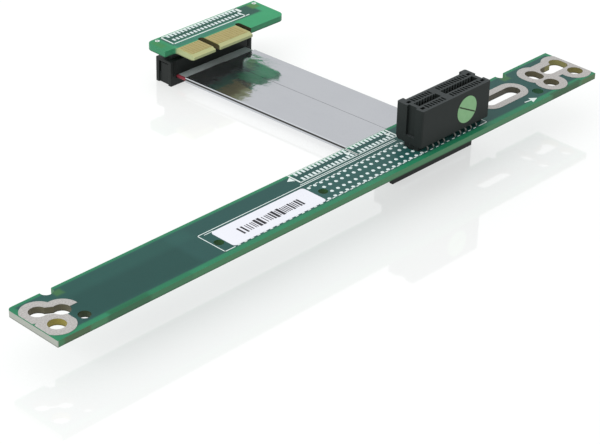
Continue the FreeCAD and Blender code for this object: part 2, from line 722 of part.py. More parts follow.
def make_stickers():
    """The round sticker of the housing and the paper label of the board."""
    sticker = doc.addObject("Part::Cylinder", "slot_sticker")
    sticker.Label = "slot_sticker"
    drive(sticker, Radius="sticker_across / 2", Height="paper_thick")
    sticker.Placement = FreeCAD.Placement(
        FreeCAD.Vector(), FreeCAD.Rotation(FreeCAD.Vector(1, 0, 0), 90))
    put(sticker, "board_x + housing_x + sticker_left",
        "board_y + slot_line - slot_depth / 2",
        "board_under + board_thick + sticker_rise")

    label = on_slot_board(new_body("product_label"))
    plan = Outline(label, "label_plan", lift="board_thick")
    plan.rectangle("label_left", "label_front",
                   "label_left + label_length", "label_front + label_width")
    pad(label, plan, "paper_thick")
    corners = [(x, y) for x in ("label_left", "label_left + label_length")
               for y in ("label_front", "label_front + label_width")]
    round_corners(label, "label_corners", "label_round", corners)


def place_socket(item, x, y, turned):
    """Place a piece of a cable connector, turned half round where asked."""
    if turned:
        item.Placement = FreeCAD.Placement(
            FreeCAD.Vector(), FreeCAD.Rotation(FreeCAD.Vector(0, 0, 1), 180))
        put(item, x + " + socket_length", y + " + socket_depth", "0")
    else:
        put(item, x, y, "0")


def make_cable_connector(prefix, x, y, turned):
    """One cable connector: socket, cover, contacts, header and header pins.

    In its own frame the cable leaves towards +Y and Z = 0 is the underside.
    """
    middle = "socket_depth / 2"
    body = new_body(prefix + "_socket_body")
    block(body, prefix + "_shell", "0", "0", "ribbon_top",
          "socket_length", "socket_depth", "socket_height - ribbon_top")
    well = hollow(body, prefix + "_chamber", "(socket_length - chamber_length) / 2",
                  middle + " - fine_pitch / 2 - chamber_shift - chamber / 2", "ribbon_top",
                  "chamber_length", "chamber", "socket_height - ribbon_top")
    repeat_behind(body, well, "fine_pitch + 2 * chamber_shift")
    for number, spot in enumerate(("0", "socket_length - latch_recess")):
        hollow(body, "%s_latch_%d" % (prefix, number), spot, middle + " - latch_width / 2",
               "ribbon_top", "latch_recess", "latch_width", "latch_top - ribbon_top")
    for number, spot in enumerate(("latch_recess", "socket_length - latch_recess - 3 * groove")):
        line = hollow(body, "%s_groove_%d" % (prefix, number), spot,
                      "socket_depth - groove", "ribbon_top",
                      "groove", "groove", "socket_height - ribbon_top")
        repeat(body, line, "2 * groove", "2")
    place_socket(body, x, y, turned)

    cover = new_body(prefix + "_socket_cover")
    block(cover, prefix + "_base", "0", "0", "0", "socket_length", "socket_depth", "ribbon_top")
    hollow(cover, prefix + "_channel", "ribbon_margin - channel_slack", "0", "cover_height",
           "ribbon_width + 2 * channel_slack", "socket_depth", "ribbon_thick")
    for number, spot in enumerate(("0", "socket_length - latch_recess + leg_thick")):
        hollow(cover, "%s_side_%d" % (prefix, number), spot, middle + " - latch_width / 2",
               "0", "latch_recess - leg_thick", "latch_width", "ribbon_top")
    for number, spot in enumerate(
            ("latch_recess - leg_thick", "socket_length - latch_recess")):
        block(cover, "%s_leg_%d" % (prefix, number), spot, middle + " - leg_width / 2",
              "0", "leg_thick", "leg_width", "leg_top")
    place_socket(cover, x, y, turned)

    blades = new_body(prefix + "_socket_contacts")
    blade = block(blades, prefix + "_blade", "pin_margin - blade_width / 2",
                  middle + " - fine_pitch / 2 - pin_across / 2 - blade_thick", "ribbon_top",
                  "blade_width", "blade_thick", "blade_top - ribbon_top")
    two_rows(blades, blade, "fine_pitch", "cable_ways",
             "fine_pitch + pin_across + blade_thick")
    place_socket(blades, x, y, turned)

    header = new_body(prefix + "_pin_header")
    block(header, prefix + "_bar", "(socket_length - header_length) / 2",
          middle + " - header_depth / 2", "socket_height",
          "header_length", "header_depth", "header_height - tail_thick")
    row = hollow(header, prefix + "_row", "pin_margin - pin_slot / 2",
                 middle + " - fine_pitch / 2 - pin_slot / 2", "socket_height",
                 "(cable_ways - 1) * fine_pitch + pin_slot", "pin_slot",
                 "header_height - tail_thick")
    repeat_behind(header, row, "fine_pitch")
    place_socket(header, x, y, turned)

    pins = new_body(prefix + "_header_pins")
    pin = block(pins, prefix + "_pin", "pin_margin - pin_across / 2",
                middle + " - fine_pitch / 2 - pin_across / 2", "socket_height - pin_drop",
                "pin_across", "pin_across", "pin_drop + header_height")
    two_rows(pins, pin, "fine_pitch", "cable_ways", "fine_pitch")
    tail = block(pins, prefix + "_tail", "pin_margin - pin_across / 2",
                 middle + " - tail_reach", "board_under - tail_thick",
                 "pin_across", "tail_reach - fine_pitch / 2", "tail_thick")
    two_rows(pins, tail, "fine_pitch", "cable_ways", "tail_reach + fine_pitch / 2")
    place_socket(pins, x, y, turned)


def wire_profile(body, name, shift):
    """The eight-sided section of one wire of the ribbon."""
    foot = "(ribbon_thick - web_height) / 2"
    nose = "(wire_pitch - wire_flat) / 2"
    outline = Outline(body, name, "XZ_Plane")
    left = "(%s)" % shift
    outline.polygon([
        (left, foot), (left + " + " + nose, "0"),
        (left + " + wire_pitch - " + nose, "0"), (left + " + wire_pitch", foot),
        (left + " + wire_pitch", "ribbon_thick - " + foot),
        (left + " + wire_pitch - " + nose, "ribbon_thick"),
        (left + " + " + nose, "ribbon_thick"), (left, "ribbon_thick - " + foot)])
    return outline


def make_ribbon():
    """The ribbon cable, its marked first wire and the film around it."""
    whole = "ribbon_free + 2 * socket_depth"
    start = "main_socket_x + ribbon_margin + ribbon_skew * socket_depth / ribbon_free"
    ribbon = new_body("ribbon_cable")
    wire = slanted_pad(ribbon, wire_profile(ribbon, "wire", "wire_pitch"), whole)
    repeat(ribbon, wire, "wire_pitch", "wire_count - 1")
    put(ribbon, start, "cable_face - socket_depth", "cover_height")
    first = new_body("pin_one_wire")
    slanted_pad(first, wire_profile(first, "first_wire", "0"), whole)
    put(first, start, "cable_face - socket_depth", "cover_height")

    wrap = new_body("ribbon_wrap")
    section = Outline(wrap, "film", "XZ_Plane")
    wide = "ribbon_width + 2 * wrap_gap + 2 * wrap_thick"
    high = "ribbon_thick + 2 * wrap_gap + 2 * wrap_thick"
    section.polygon([
        ("0", "0"), (wide, "0"), (wide, high), ("wrap_seam", high),
        ("wrap_seam", high + " + wrap_thick"), ("0", high + " + wrap_thick")])
    section.rectangle("wrap_thick", "wrap_thick",
                      wide + " - wrap_thick", high + " - wrap_thick")
    slanted_pad(wrap, section, "ribbon_free - 2 * bare_length")
    put(wrap, "main_socket_x + ribbon_margin - wrap_gap - wrap_thick"
              " - ribbon_skew * bare_length / ribbon_free",
        "cable_face + bare_length", "cover_height - wrap_gap - wrap_thick")


def make_plug_card():
    """The small card with its keyed and bevelled tongue."""
    body = on_plug_card(new_body("plug_board"))
    key_left = "tongue_left + key_edge"
    key_right = key_left + " + key_notch"
    tongue_right = "tongue_left + tongue_width"
    ear_left = tongue_right + " + side_gap"
    plan = Outline(body, "card_plan")
    plan.polygon([
        ("0", "left_ear"), ("tongue_left", "left_ear"), ("tongue_left", "0"),
        (key_left, "0"), (key_left, "key_deep"), (key_right, "key_deep"), (key_right, "0"),
        (tongue_right, "0"), (tongue_right, "side_deep"), (ear_left, "side_deep"),
        (ear_left, "right_ear"), ("card_length", "right_ear"),
        ("card_length", "card_depth"), ("0", "card_depth")])
    pad(body, plan, "board_thick")
    round_corners(body, "ear_corners", "ear_round",
                  [("0", "card_depth"), ("card_length", "right_ear")])
    round_corners(body, "root_corner", "root_round", [("tongue_left", "left_ear")])
    round_corners(body, "notch_corners", "notch_round",
                  [(key_left, "key_deep"), (key_right, "key_deep"),
                   (tongue_right, "side_deep"), (ear_left, "side_deep")])
    for name, edge, inner in (("bevel_top", "board_thick", "board_thick - bevel_drop"),
                              ("bevel_under", "0", "bevel_drop")):
        wedge = Outline(body, name, "YZ_Plane", lift="card_length")
        wedge.polygon([("0", edge), ("0", inner), ("bevel_run", edge)])
        cut(body, wedge)
    holes = Outline(body, "card_holes", lift="board_thick")
    holes.circle("tool_left", "tool_line", "tool_hole")
    holes.circle("card_length - tool_right", "tool_line", "tool_hole")
    cut(body, holes)

    for label, z in (("gold_fingers_top", "board_thick"),
                     ("gold_fingers_bottom", "0 - finger_thick")):
        fingers = on_plug_card(new_body(label))
        for number, (x, count) in enumerate((
                ("key_middle - key_gap / 2 - 6 * contact_pitch", "7"),
                ("key_middle + key_gap / 2", "11"))):
            finger = block(fingers, "%s_%d" % (label, number), x + " - finger_width / 2",
                           "finger_front", z, "finger_width", "finger_length", "finger_thick")
            repeat(fingers, finger, "contact_pitch", count)


NODES = (
    "main_board", "ground_lands",
    "open_footprint_pads", "header_pads_long", "header_pads_short", "slot_housing",
    "slot_contacts_front", "slot_contacts_rear", "slot_tail_tips", "slot_sticker",
    "product_label", "main_pin_header", "main_header_pins", "main_socket_body",
    "main_socket_cover", "main_socket_contacts", "ribbon_cable", "pin_one_wire",
    "ribbon_wrap", "plug_board", "gold_fingers_top", "gold_fingers_bottom",
    "plug_header_pads", "plug_pin_header", "plug_header_pins", "plug_socket_body",
    "plug_socket_cover", "plug_socket_contacts",
)


def write_nodes():
    """Check every object, then write one STEP file for each node."""
    doc.recompute()
    for item in doc.Objects:
        if "Invalid" in item.State or "Error" in item.State:
            raise RuntimeError("%s is %s" % (item.Label, item.State))
    os.makedirs("parts", exist_ok=True)
    for name in NODES:
        shape = doc.getObjectsByLabel(name)[0].Shape
        if shape.isNull() or not shape.isValid() or not shape.Solids:
            raise RuntimeError(name + " has no sound shape")
        shape.exportStep("parts/%s.step" % name)
        box = shape.BoundBox
        print("%-22s %3d solids %9.2f mm3  X %7.2f %7.2f  Y %7.2f %7.2f  Z %6.2f %6.2f" % (
            name, len(shape.Solids), shape.Volume, box.XMin, box.XMax,
            box.YMin, box.YMax, box.ZMin, box.ZMax))


fill_sheet()
make_slot_board()
make_lands()
make_footprints()
make_housing()
make_contacts()
make_stickers()
make_cable_connector("main", "main_socket_x", "cable_face - socket_depth", False)
make_cable_connector("plug", "plug_socket_x", "plug_socket_y", True)
make_ribbon()
make_plug_card()
write_nodes()
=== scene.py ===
"""Looks of a flexible riser card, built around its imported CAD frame.

The slot board, the plug card, the connectors and the ribbon keep their CAD shapes.
This file rounds the moulded parts, lays the ink and the solder, and gives every
surface its material. Sizes in the classes are millimetres, Blender's are metres.
"""
from __future__ import annotations

import logging
import math
import random
from dataclasses import dataclass, replace
from enum import Enum
from typing import Any, Iterable, Sequence

import bmesh
import bpy
from mathutils import Matrix, Vector

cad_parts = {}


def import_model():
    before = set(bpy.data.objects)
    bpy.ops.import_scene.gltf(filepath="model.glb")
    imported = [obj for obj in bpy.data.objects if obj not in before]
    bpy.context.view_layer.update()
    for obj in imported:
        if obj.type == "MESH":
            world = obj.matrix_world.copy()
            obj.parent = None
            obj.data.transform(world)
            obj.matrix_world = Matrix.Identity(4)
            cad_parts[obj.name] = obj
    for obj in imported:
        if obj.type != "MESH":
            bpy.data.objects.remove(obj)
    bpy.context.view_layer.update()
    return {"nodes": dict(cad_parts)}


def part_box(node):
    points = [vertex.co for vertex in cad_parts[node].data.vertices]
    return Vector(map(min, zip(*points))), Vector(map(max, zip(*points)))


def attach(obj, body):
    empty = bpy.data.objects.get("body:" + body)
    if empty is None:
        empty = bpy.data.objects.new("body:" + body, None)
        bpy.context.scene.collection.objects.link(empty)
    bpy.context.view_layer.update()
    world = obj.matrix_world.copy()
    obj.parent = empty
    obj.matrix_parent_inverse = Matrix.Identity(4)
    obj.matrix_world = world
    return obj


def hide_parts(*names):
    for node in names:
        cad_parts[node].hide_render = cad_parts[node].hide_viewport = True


MM = 0.001
ROOT = "root"
SHARP_EDGE = math.radians(40)  # a moulding's edges from this angle up are rounded
FLAT_EDGE = math.radians(1)  # edges up to this angle only divide a flat face
SAME_PLACE = 0.002 * MM  # vertices this near each other are one
ON_PLANE = 1e-7  # vertices this near a cutting plane are on it
RGBA = {"data_type": "RGBA"}  # a Mix node for colours, and its sockets:
FIRST, SECOND, MIXED = 6, 7, 2
SMOOTH = {"interpolation_type": "SMOOTHSTEP"}  # a Map Range node that eases in and out

BMesh = bmesh.types.BMesh
Object = bpy.types.Object
Socket = bpy.types.NodeSocket
Tree = bpy.types.NodeTree
Colour = tuple[float, float, float, float]
Sides = tuple[float, float, float, float]  # left, front, right and rear
Points = tuple[tuple[float, float], ...]
log = logging.getLogger("riser_card")


class Axis(Enum):
    """The outputs of a Separate XYZ node."""

    X = "X"
    Y = "Y"
    Z = "Z"


# Node helpers


def linear(code: str) -> Colour:
    """Turn an sRGB hex colour into the linear values that Blender takes.

    Args:
        code: six hex digits, with or without a leading hash.

    Returns:
        Linear red, green, blue and an alpha of one.
    """
    digits = code.lstrip("#")
    parts = [int(digits[i:i + 2], 16) / 255 for i in (0, 2, 4)]
    toned = [p / 12.92 if p <= 0.04045 else ((p + 0.055) / 1.055) ** 2.4 for p in parts]
    return (toned[0], toned[1], toned[2], 1.0)


def add_node(tree: Tree, kind: str, settings: dict[str, Any] | None = None,
             feeds: dict[str | int, Any] | None = None) -> bpy.types.Node:
    """Add one node to a tree, set it up and link what feeds it.

    Args:
        tree: the node tree of a material.
        kind: Blender's name of the node type.
        settings: properties of the node.
        feeds: for an input's name or number, a socket to link or a value to set.

    Returns:
        The new node.
    """
    made = tree.nodes.new(kind)
    for name, value in (settings or {}).items():
        setattr(made, name, value)
    for name, source in (feeds or {}).items():
        if isinstance(source, Socket):
            tree.links.new(source, made.inputs[name])
        else:
            made.inputs[name].default_value = source
    return made


# Finishes


@dataclass(frozen=True)
class Finish:
    """A plain finish: one colour with a fine mottle and a fine grain."""

    name: str  # what the material is and how its surface was made
    base: str  # its colour, sRGB hex
    tone: str  # the second tone of its mottle, sRGB hex
    roughness: float  # the shader's roughness
    metallic: float = 0.0  # the shader's metallic value
    specular: float = 0.5  # the shader's specular level
    mottle_mm: float = 2.0  # real size of the mottle
    grain_mm: float = 0.15  # real size of the grain
    grain_height_mm: float = 0.01  # height of the grain
    strength: float = 0.6  # strength of the grain's bump

    def make(self) -> bpy.types.Material:
        """Build the material, unless an earlier call has built it.

        Returns:
            The material.
        """
        if self.name in bpy.data.materials:
            return bpy.data.materials[self.name]
        material = bpy.data.materials.new(self.name)
        material.use_nodes = True
        tree = material.node_tree
        shader = tree.nodes["Principled BSDF"]
        shader.inputs["Roughness"].default_value = self.roughness
        shader.inputs["Metallic"].default_value = self.metallic
        shader.inputs["Specular IOR Level"].default_value = self.specular
        place = add_node(tree, "ShaderNodeTexCoord").outputs["Object"]
        tree.links.new(self.colour(tree, place), shader.inputs["Base Color"])
        tree.links.new(self.grain(tree, place), shader.inputs["Normal"])
        return material

    def mottle(self, tree: Tree, place: Socket,
               detail: float = 3.0) -> tuple[Socket, Socket]:
        """Mix the two tones by a soft noise of the mottle's size.

        Args:
            tree: the node tree of the material.
            place: the Object coordinates.
            detail: the noise's detail.

        Returns:
            The noise, and the mixed colour.
        """
        cloud = add_node(tree, "ShaderNodeTexNoise", feeds={
            "Vector": place, "Scale": 1 / (self.mottle_mm * MM), "Detail": detail})
        mix = add_node(tree, "ShaderNodeMix", RGBA, {
            0: cloud.outputs["Fac"], FIRST: linear(self.base), SECOND: linear(self.tone)})
        return cloud.outputs["Fac"], mix.outputs[MIXED]

    def colour(self, tree: Tree, place: Socket) -> Socket:
        """Give the mottled colour."""
        return self.mottle(tree, place)[1]

    def grain(self, tree: Tree, place: Socket) -> Socket:
        """Give the surface its fine unevenness.

        Args:
            tree: the node tree of the material.
            place: the Object coordinates.

        Returns:
            The normal.
        """
        fine = add_node(tree, "ShaderNodeTexNoise", feeds={
            "Vector": place, "Scale": 1 / (self.grain_mm * MM), "Detail": 2.0})
        bump = add_node(tree, "ShaderNodeBump", feeds={
            "Height": fine.outputs["Fac"], "Distance": self.grain_height_mm * MM,
            "Strength": self.strength})
        return bump.outputs["Normal"]


@dataclass(frozen=True)
class Patch:
    """A soft-edged rectangle of colour on a board."""

    x0: float  # its left side, in millimetres from the board's front left corner
    y0: float  # its front side
    x1: float  # its right side
    y1: float  # its rear side
    code: str  # its colour, sRGB hex
    soft: float = 0.25  # half the width of its soft edge, in millimetres
    strength: float = 1.0  # how much it hides of what lies under it


@dataclass(frozen=True)
class BoardFinish(Finish):
    """Green solder mask over etched copper on glass-fibre laminate.

    The mask looks dark and bluish over the copper and bright green over bare
    laminate. The sawn edges show the laminate, and plated holes a dull tin.
    """

    face: tuple[Patch, ...] = ()  # patches on the level faces, lowest first
    wall: str = "#3B8A55"  # colour of the upright faces, sRGB hex
    walls: tuple[Patch, ...] = ()  # patches on the upright faces, lowest first
    # the board's front left lower corner in the row frame
    corner: tuple[float, float, float] = (0.0, 0.0, 0.0)
    level: float = 0.35  # least upright part of the normal on a level face
    lift: float = 1.16  # how much lighter the mottle makes a patch
    shaded_foot_mm: float = 0.45  # height of the painted shade along the lower edge of a wall
    shaded_foot_level: float = 0.5  # the part of a wall's colour that is left at the foot of that painted shade

    def colour(self, tree: Tree, place: Socket) -> Socket:
        """Paint the face patches on top, and on the upright faces the wall patches with painted shade
        along their foot.

        Args:
            tree: the node tree of the material.
            place: the Object coordinates.

        Returns:
            The colour.
        """
        cloud, tint = self.mottle(tree, place, 4.0)
        face = self.paint(tree, place, tint, self.face, cloud)
        side = self.paint(tree, place, linear(self.wall), self.walls, cloud)
        height = add_node(tree, "ShaderNodeSeparateXYZ", feeds={0: place}).outputs[Axis.Z.value]
        # painted shade: the walls darken towards the board's lower face
        foot = self.corner[2] * MM
        foot_shade = add_node(tree, "ShaderNodeMapRange", SMOOTH, {
            "Value": height, "From Min": foot, "From Max": foot + self.shaded_foot_mm * MM,
            "To Min": self.shaded_foot_level, "To Max": 1.0})
        foot_shaded = add_node(tree, "ShaderNodeVectorMath", {"operation": "SCALE"}, {
            0: side, "Scale": foot_shade.outputs[0]})
        normal = add_node(tree, "ShaderNodeNewGeometry").outputs["Normal"]
        upright = add_node(tree, "ShaderNodeSeparateXYZ", feeds={0: normal}).outputs[Axis.Z.value]
        size = add_node(tree, "ShaderNodeMath", {"operation": "ABSOLUTE"}, {0: upright})
        flat = add_node(tree, "ShaderNodeMath", {"operation": "GREATER_THAN"},
                        {0: size.outputs[0], 1: self.level})
        mix = add_node(tree, "ShaderNodeMix", RGBA,
                       {0: flat.outputs[0], FIRST: foot_shaded.outputs[0], SECOND: face})
        return mix.outputs[MIXED]

    def paint(self, tree: Tree, place: Socket, under: Socket | Colour,
              patches: Sequence[Patch], cloud: Socket) -> Socket | Colour:
        """Lay patches of colour over one another.

        Args:
            tree: the node tree of the material.
            place: the Object coordinates.
            under: the colour below the first patch.
            patches: the rectangles, lowest first.
            cloud: the noise that mottles each patch.

        Returns:
            The colour with every patch on it.
        """
        for patch in patches:
            middle = ((self.corner[0] + (patch.x0 + patch.x1) / 2) * MM,
                      (self.corner[1] + (patch.y0 + patch.y1) / 2) * MM, 0)
            half = (abs(patch.x1 - patch.x0) / 2 * MM, abs(patch.y1 - patch.y0) / 2 * MM, 1)
            away = add_node(tree, "ShaderNodeVectorMath", {"operation": "SUBTRACT"},
                            {0: place, 1: middle})
            size = add_node(tree, "ShaderNodeVectorMath", {"operation": "ABSOLUTE"},
                            {0: away.outputs[0]})
            past = add_node(tree, "ShaderNodeVectorMath", {"operation": "SUBTRACT"},
                            {0: size.outputs[0], 1: half})
            split = add_node(tree, "ShaderNodeSeparateXYZ", feeds={0: past.outputs[0]})
            worst = add_node(tree, "ShaderNodeMath", {"operation": "MAXIMUM"},
                             {0: split.outputs[Axis.X.value], 1: split.outputs[Axis.Y.value]})
            inside = add_node(tree, "ShaderNodeMapRange", SMOOTH, {
                "Value": worst.outputs[0], "From Min": patch.soft * MM, "From Max": -patch.soft * MM,
                "To Min": 0.0, "To Max": patch.strength})
            red, green, blue, alpha = linear(patch.code)
            lit = (*(min(1.0, part * self.lift) for part in (red, green, blue)), alpha)
            shade = add_node(tree, "ShaderNodeMix", RGBA, {
                0: cloud, FIRST: (red, green, blue, alpha), SECOND: lit})
            under = add_node(tree, "ShaderNodeMix", RGBA, {
                0: inside.outputs[0], FIRST: under, SECOND: shade.outputs[MIXED]}).outputs[MIXED]
        return under


@dataclass(frozen=True)
class Film(Finish):
    """Metallised plastic film: mirror-like, with slow waves from the wires under it."""

    wave_mm: float = 6.0  # real size of the waves across the ribbon
    stretch: float = 0.3  # a wave's width for each part of its length
    crinkle: float = 0.1  # height of the fine crinkle for each part of the waves' height
    seam: float = 0.0  # X, at Y zero, of the thin dark line where the film overlaps itself
    lean: float = 0.0  # the ribbon's step in X for each one in Y, which the seam follows
    seam_mm: float = 0.17  # half the width of the seam's line
    seam_full: float = 0.4  # the part of that half which is fully dark
    seam_code: str = "#3C3D40"  # the line's colour, sRGB hex
    seam_depth: float = 0.95  # how dark the line is drawn, from 0 to 1
    rim: float = 0.0  # Z of the film's upper face
    side: str = "#3E3D3B"  # colour of the painted shade along the upright edges, sRGB hex
    # how far below the rim that painted shade begins, is full, starts to fade and ends
    edge_shade_mm: tuple[float, float, float, float] = (0.25, 0.4, 0.75, 0.95)
    edge_shade_rest: float = 0.15  # the part of the painted shade's colour that is left below it

    def colour(self, tree: Tree, place: Socket) -> Socket:
        """Draw the seam on the mottled film and the painted shade along its upright edges.

        Args:
            tree: the node tree of the material.
            place: the Object coordinates.

        Returns:
            The colour.
        """
        face = self.mottle(tree, place)[1]
        split = add_node(tree, "ShaderNodeSeparateXYZ", feeds={0: place})
        across = add_node(tree, "ShaderNodeMath", {"operation": "MULTIPLY_ADD"}, {
            0: split.outputs[Axis.Y.value], 1: -self.lean, 2: split.outputs[Axis.X.value]})
        off = add_node(tree, "ShaderNodeMath", {"operation": "SUBTRACT"}, {
            0: across.outputs[0], 1: self.seam * MM})
        away = add_node(tree, "ShaderNodeMath", {"operation": "ABSOLUTE"}, {0: off.outputs[0]})
        line = add_node(tree, "ShaderNodeMapRange", SMOOTH, {
            "Value": away.outputs[0], "From Min": self.seam_mm * MM,
            "From Max": self.seam_mm * self.seam_full * MM, "To Min": 0.0, "To Max": self.seam_depth})
        lined = add_node(tree, "ShaderNodeMix", RGBA, {
            0: line.outputs[0], FIRST: face, SECOND: linear(self.seam_code)})
        # painted shade: a dark band down the film's upright edges, under a thin rim of plain film
        begins, full, fades, ends = ((self.rim - below) * MM for below in self.edge_shade_mm)
        height = split.outputs[Axis.Z.value]
        upper = add_node(tree, "ShaderNodeMapRange", SMOOTH, {
            "Value": height, "From Min": begins, "From Max": full, "To Min": 0.0, "To Max": 1.0})
        lower = add_node(tree, "ShaderNodeMapRange", SMOOTH, {
            "Value": height, "From Min": ends, "From Max": fades,
            "To Min": self.edge_shade_rest, "To Max": 1.0})
        edge_shade_mask = add_node(tree, "ShaderNodeMath", {"operation": "MULTIPLY"}, {
            0: upper.outputs[0], 1: lower.outputs[0]})
        mix = add_node(tree, "ShaderNodeMix", RGBA, {
            0: edge_shade_mask.outputs[0], FIRST: lined.outputs[MIXED], SECOND: linear(self.side)})
        return mix.outputs[MIXED]

    def grain(self, tree: Tree, place: Socket) -> Socket:
        """Add slow waves along the wires and a faint crinkle to the film.

        Args:
            tree: the node tree of the material.
            place: the Object coordinates.

        Returns:
            The normal.
        """
        long = add_node(tree, "ShaderNodeMapping", feeds={
            "Vector": place, "Scale": (1.0, self.stretch, 1.0)})
        slow = add_node(tree, "ShaderNodeTexNoise", feeds={
            "Vector": long.outputs[0], "Scale": 1 / (self.wave_mm * MM), "Detail": 1.5})
        fine = add_node(tree, "ShaderNodeTexNoise", feeds={
            "Vector": place, "Scale": 1 / (self.grain_mm * MM), "Detail": 3.0})
        both = add_node(tree, "ShaderNodeMath", {"operation": "MULTIPLY_ADD"}, {
            0: fine.outputs["Fac"], 1: self.crinkle, 2: slow.outputs["Fac"]})
        bump = add_node(tree, "ShaderNodeBump", feeds={
            "Height": both.outputs[0], "Distance": self.grain_height_mm * MM,
            "Strength": self.strength})
        return bump.outputs["Normal"]


@dataclass(frozen=True)
class Moulding(Finish):
    """Moulded black plastic, a little greyer on the faces that look up, as painted top light."""

    painted_top_light: str = "#3E4344"  # colour painted on the upper faces as top light, sRGB hex
    # upright parts of the normal where that colour begins and is full
    turn: tuple[float, float] = (0.1, 0.95)

    def colour(self, tree: Tree, place: Socket) -> Socket:
        """Mottle the plastic and grey its upper faces with painted top light.

        Args:
            tree: the node tree of the material.
            place: the Object coordinates.

        Returns:
            The colour.
        """
        plain = self.mottle(tree, place)[1]
        # painted top light: the faces that look up are greyed
        normal = add_node(tree, "ShaderNodeNewGeometry").outputs["Normal"]
        upright = add_node(tree, "ShaderNodeSeparateXYZ", feeds={0: normal}).outputs[Axis.Z.value]
        top_light_mask = add_node(tree, "ShaderNodeMapRange", SMOOTH, {
            "Value": upright, "From Min": self.turn[0], "From Max": self.turn[1],
            "To Min": 0.0, "To Max": 1.0})
        mix = add_node(tree, "ShaderNodeMix", RGBA, {
            0: top_light_mask.outputs[0], FIRST: plain, SECOND: linear(self.painted_top_light)})
        return mix.outputs[MIXED]


@dataclass(frozen=True)
class Gilding(Finish):
    """Hard gold plated on copper, with the fine marks of earlier matings."""

    stretch: float = 0.06  # a mark's width for each part of its length

    def grain(self, tree: Tree, place: Socket) -> Socket:
        """Draw the marks along the fingers.

        Args:
            tree: the node tree of the material.
            place: the Object coordinates.

        Returns:
            The normal.
        """
        long = add_node(tree, "ShaderNodeMapping", feeds={
            "Vector": place, "Scale": (1.0, self.stretch, 1.0)})
        return super().grain(tree, long.outputs[0])


# Glass-filled thermoplastic, moulded: near black, even, with a dull sheen and painted top light on
# its upper faces.
MOULDED_BLACK = Moulding("moulded_black_thermoplastic", "#202524", "#262B2A", 0.5,
                         specular=0.14, mottle_mm=3.0, grain_mm=0.2, grain_height_mm=0.006)
# The same plastic where thin ribs catch the light.
RIB_BLACK = Finish("moulded_black_thermoplastic_ribs", "#474D4D", "#525858", 0.5,
                   specular=0.2, mottle_mm=1.0, grain_mm=0.2, grain_height_mm=0.004)
# Moulded polyester of the cable connectors: darker and a little glossier, with a dimmer painted top
# light.
SOCKET_BLACK = Moulding("moulded_black_polyester", "#1C201F", "#222625", 0.45,
                        specular=0.16, mottle_mm=3.0, grain_mm=0.2, grain_height_mm=0.006,
                        painted_top_light="#2A2E2E")
# Hot-air levelled solder: pale, warm grey, softly uneven from the levelling.
TINNED = Finish("levelled_tin_solder", "#92908D", "#E0DDDA", 0.5, metallic=0.35,
                specular=0.3, mottle_mm=0.35, grain_mm=0.3, grain_height_mm=0.03)
# Solder that filled the plated holes: small bright domes.
SOLDER_DOME = Finish("wave_solder", "#D8E8E7", "#EAF6F5", 0.4, metallic=0.05,
                     mottle_mm=0.6, grain_mm=0.3, grain_height_mm=0.01)
# Tin-plated brass of the contact tails: a dull metal that stands out from the housing.
PLATED_TAIL = Finish("tin_plated_brass", "#7B7E7A", "#939692", 0.45, metallic=0.6,
                     mottle_mm=0.8, grain_mm=0.2, grain_height_mm=0.005)
# Two-part ink, screen printed: matt and slightly bluish white.
LEGEND_INK = Finish("screen_printed_white_ink", "#E2EEEB", "#EEF8F5", 0.6, specular=0.3,
                    mottle_mm=0.5, grain_mm=0.12, grain_height_mm=0.005)
# Coated paper with a pale green print: even and satin.
GREEN_PAPER = Finish("pale_green_coated_paper", "#79A877", "#87B585", 0.5, specular=0.3,
                     mottle_mm=1.2, grain_mm=0.2, grain_height_mm=0.004)
# Dark ink on that paper: matt, nearly black.
DARK_PRINT = Finish("dark_print", "#26301F", "#303A29", 0.6, specular=0.2, mottle_mm=0.8,
                    grain_mm=0.2, grain_height_mm=0.003)
# Thermally printed black: matt, a little bluish.
BLACK_PRINT = Finish("thermal_black_print", "#2B2B30", "#3A3A40", 0.6, specular=0.2,
                     mottle_mm=0.8, grain_mm=0.2, grain_height_mm=0.003)
# Coated white label paper: the brightest surface, faintly blue.
WHITE_PAPER = Finish("white_coated_paper", "#ECEEF7", "#F3F5FC", 0.5, specular=0.3,
                     mottle_mm=4.0, grain_mm=0.15, grain_height_mm=0.004)
# Flexible vinyl insulation: grey, satin.
GREY_VINYL = Finish("grey_vinyl_insulation", "#A2AAAD", "#B0B7BA", 0.5, specular=0.4,
                    mottle_mm=2.0, grain_mm=0.2, grain_height_mm=0.006)
# The same insulation in the dark red of the first wire.
RED_VINYL = Finish("red_vinyl_insulation", "#7C2733", "#8E3340", 0.45, specular=0.4,
                   mottle_mm=2.0, grain_mm=0.2, grain_height_mm=0.006)
# Metallised polyester film: it mirrors what stands near it in slow, broken waves.
SILVER_FILM = Film("metallised_polyester_film", "#CBCED4", "#D4D7DC", 0.1, metallic=0.95,
                   mottle_mm=14.0, grain_mm=1.6, grain_height_mm=0.35, strength=1.0)
# Hard gold over copper: pale, half dull, brushed along the fingers.
GOLD = Gilding("hard_gold_plate", "#AE9F67", "#BEB079", 0.4, metallic=0.45, specular=0.3,
               mottle_mm=1.5, grain_mm=0.12, grain_height_mm=0.008, strength=0.5)

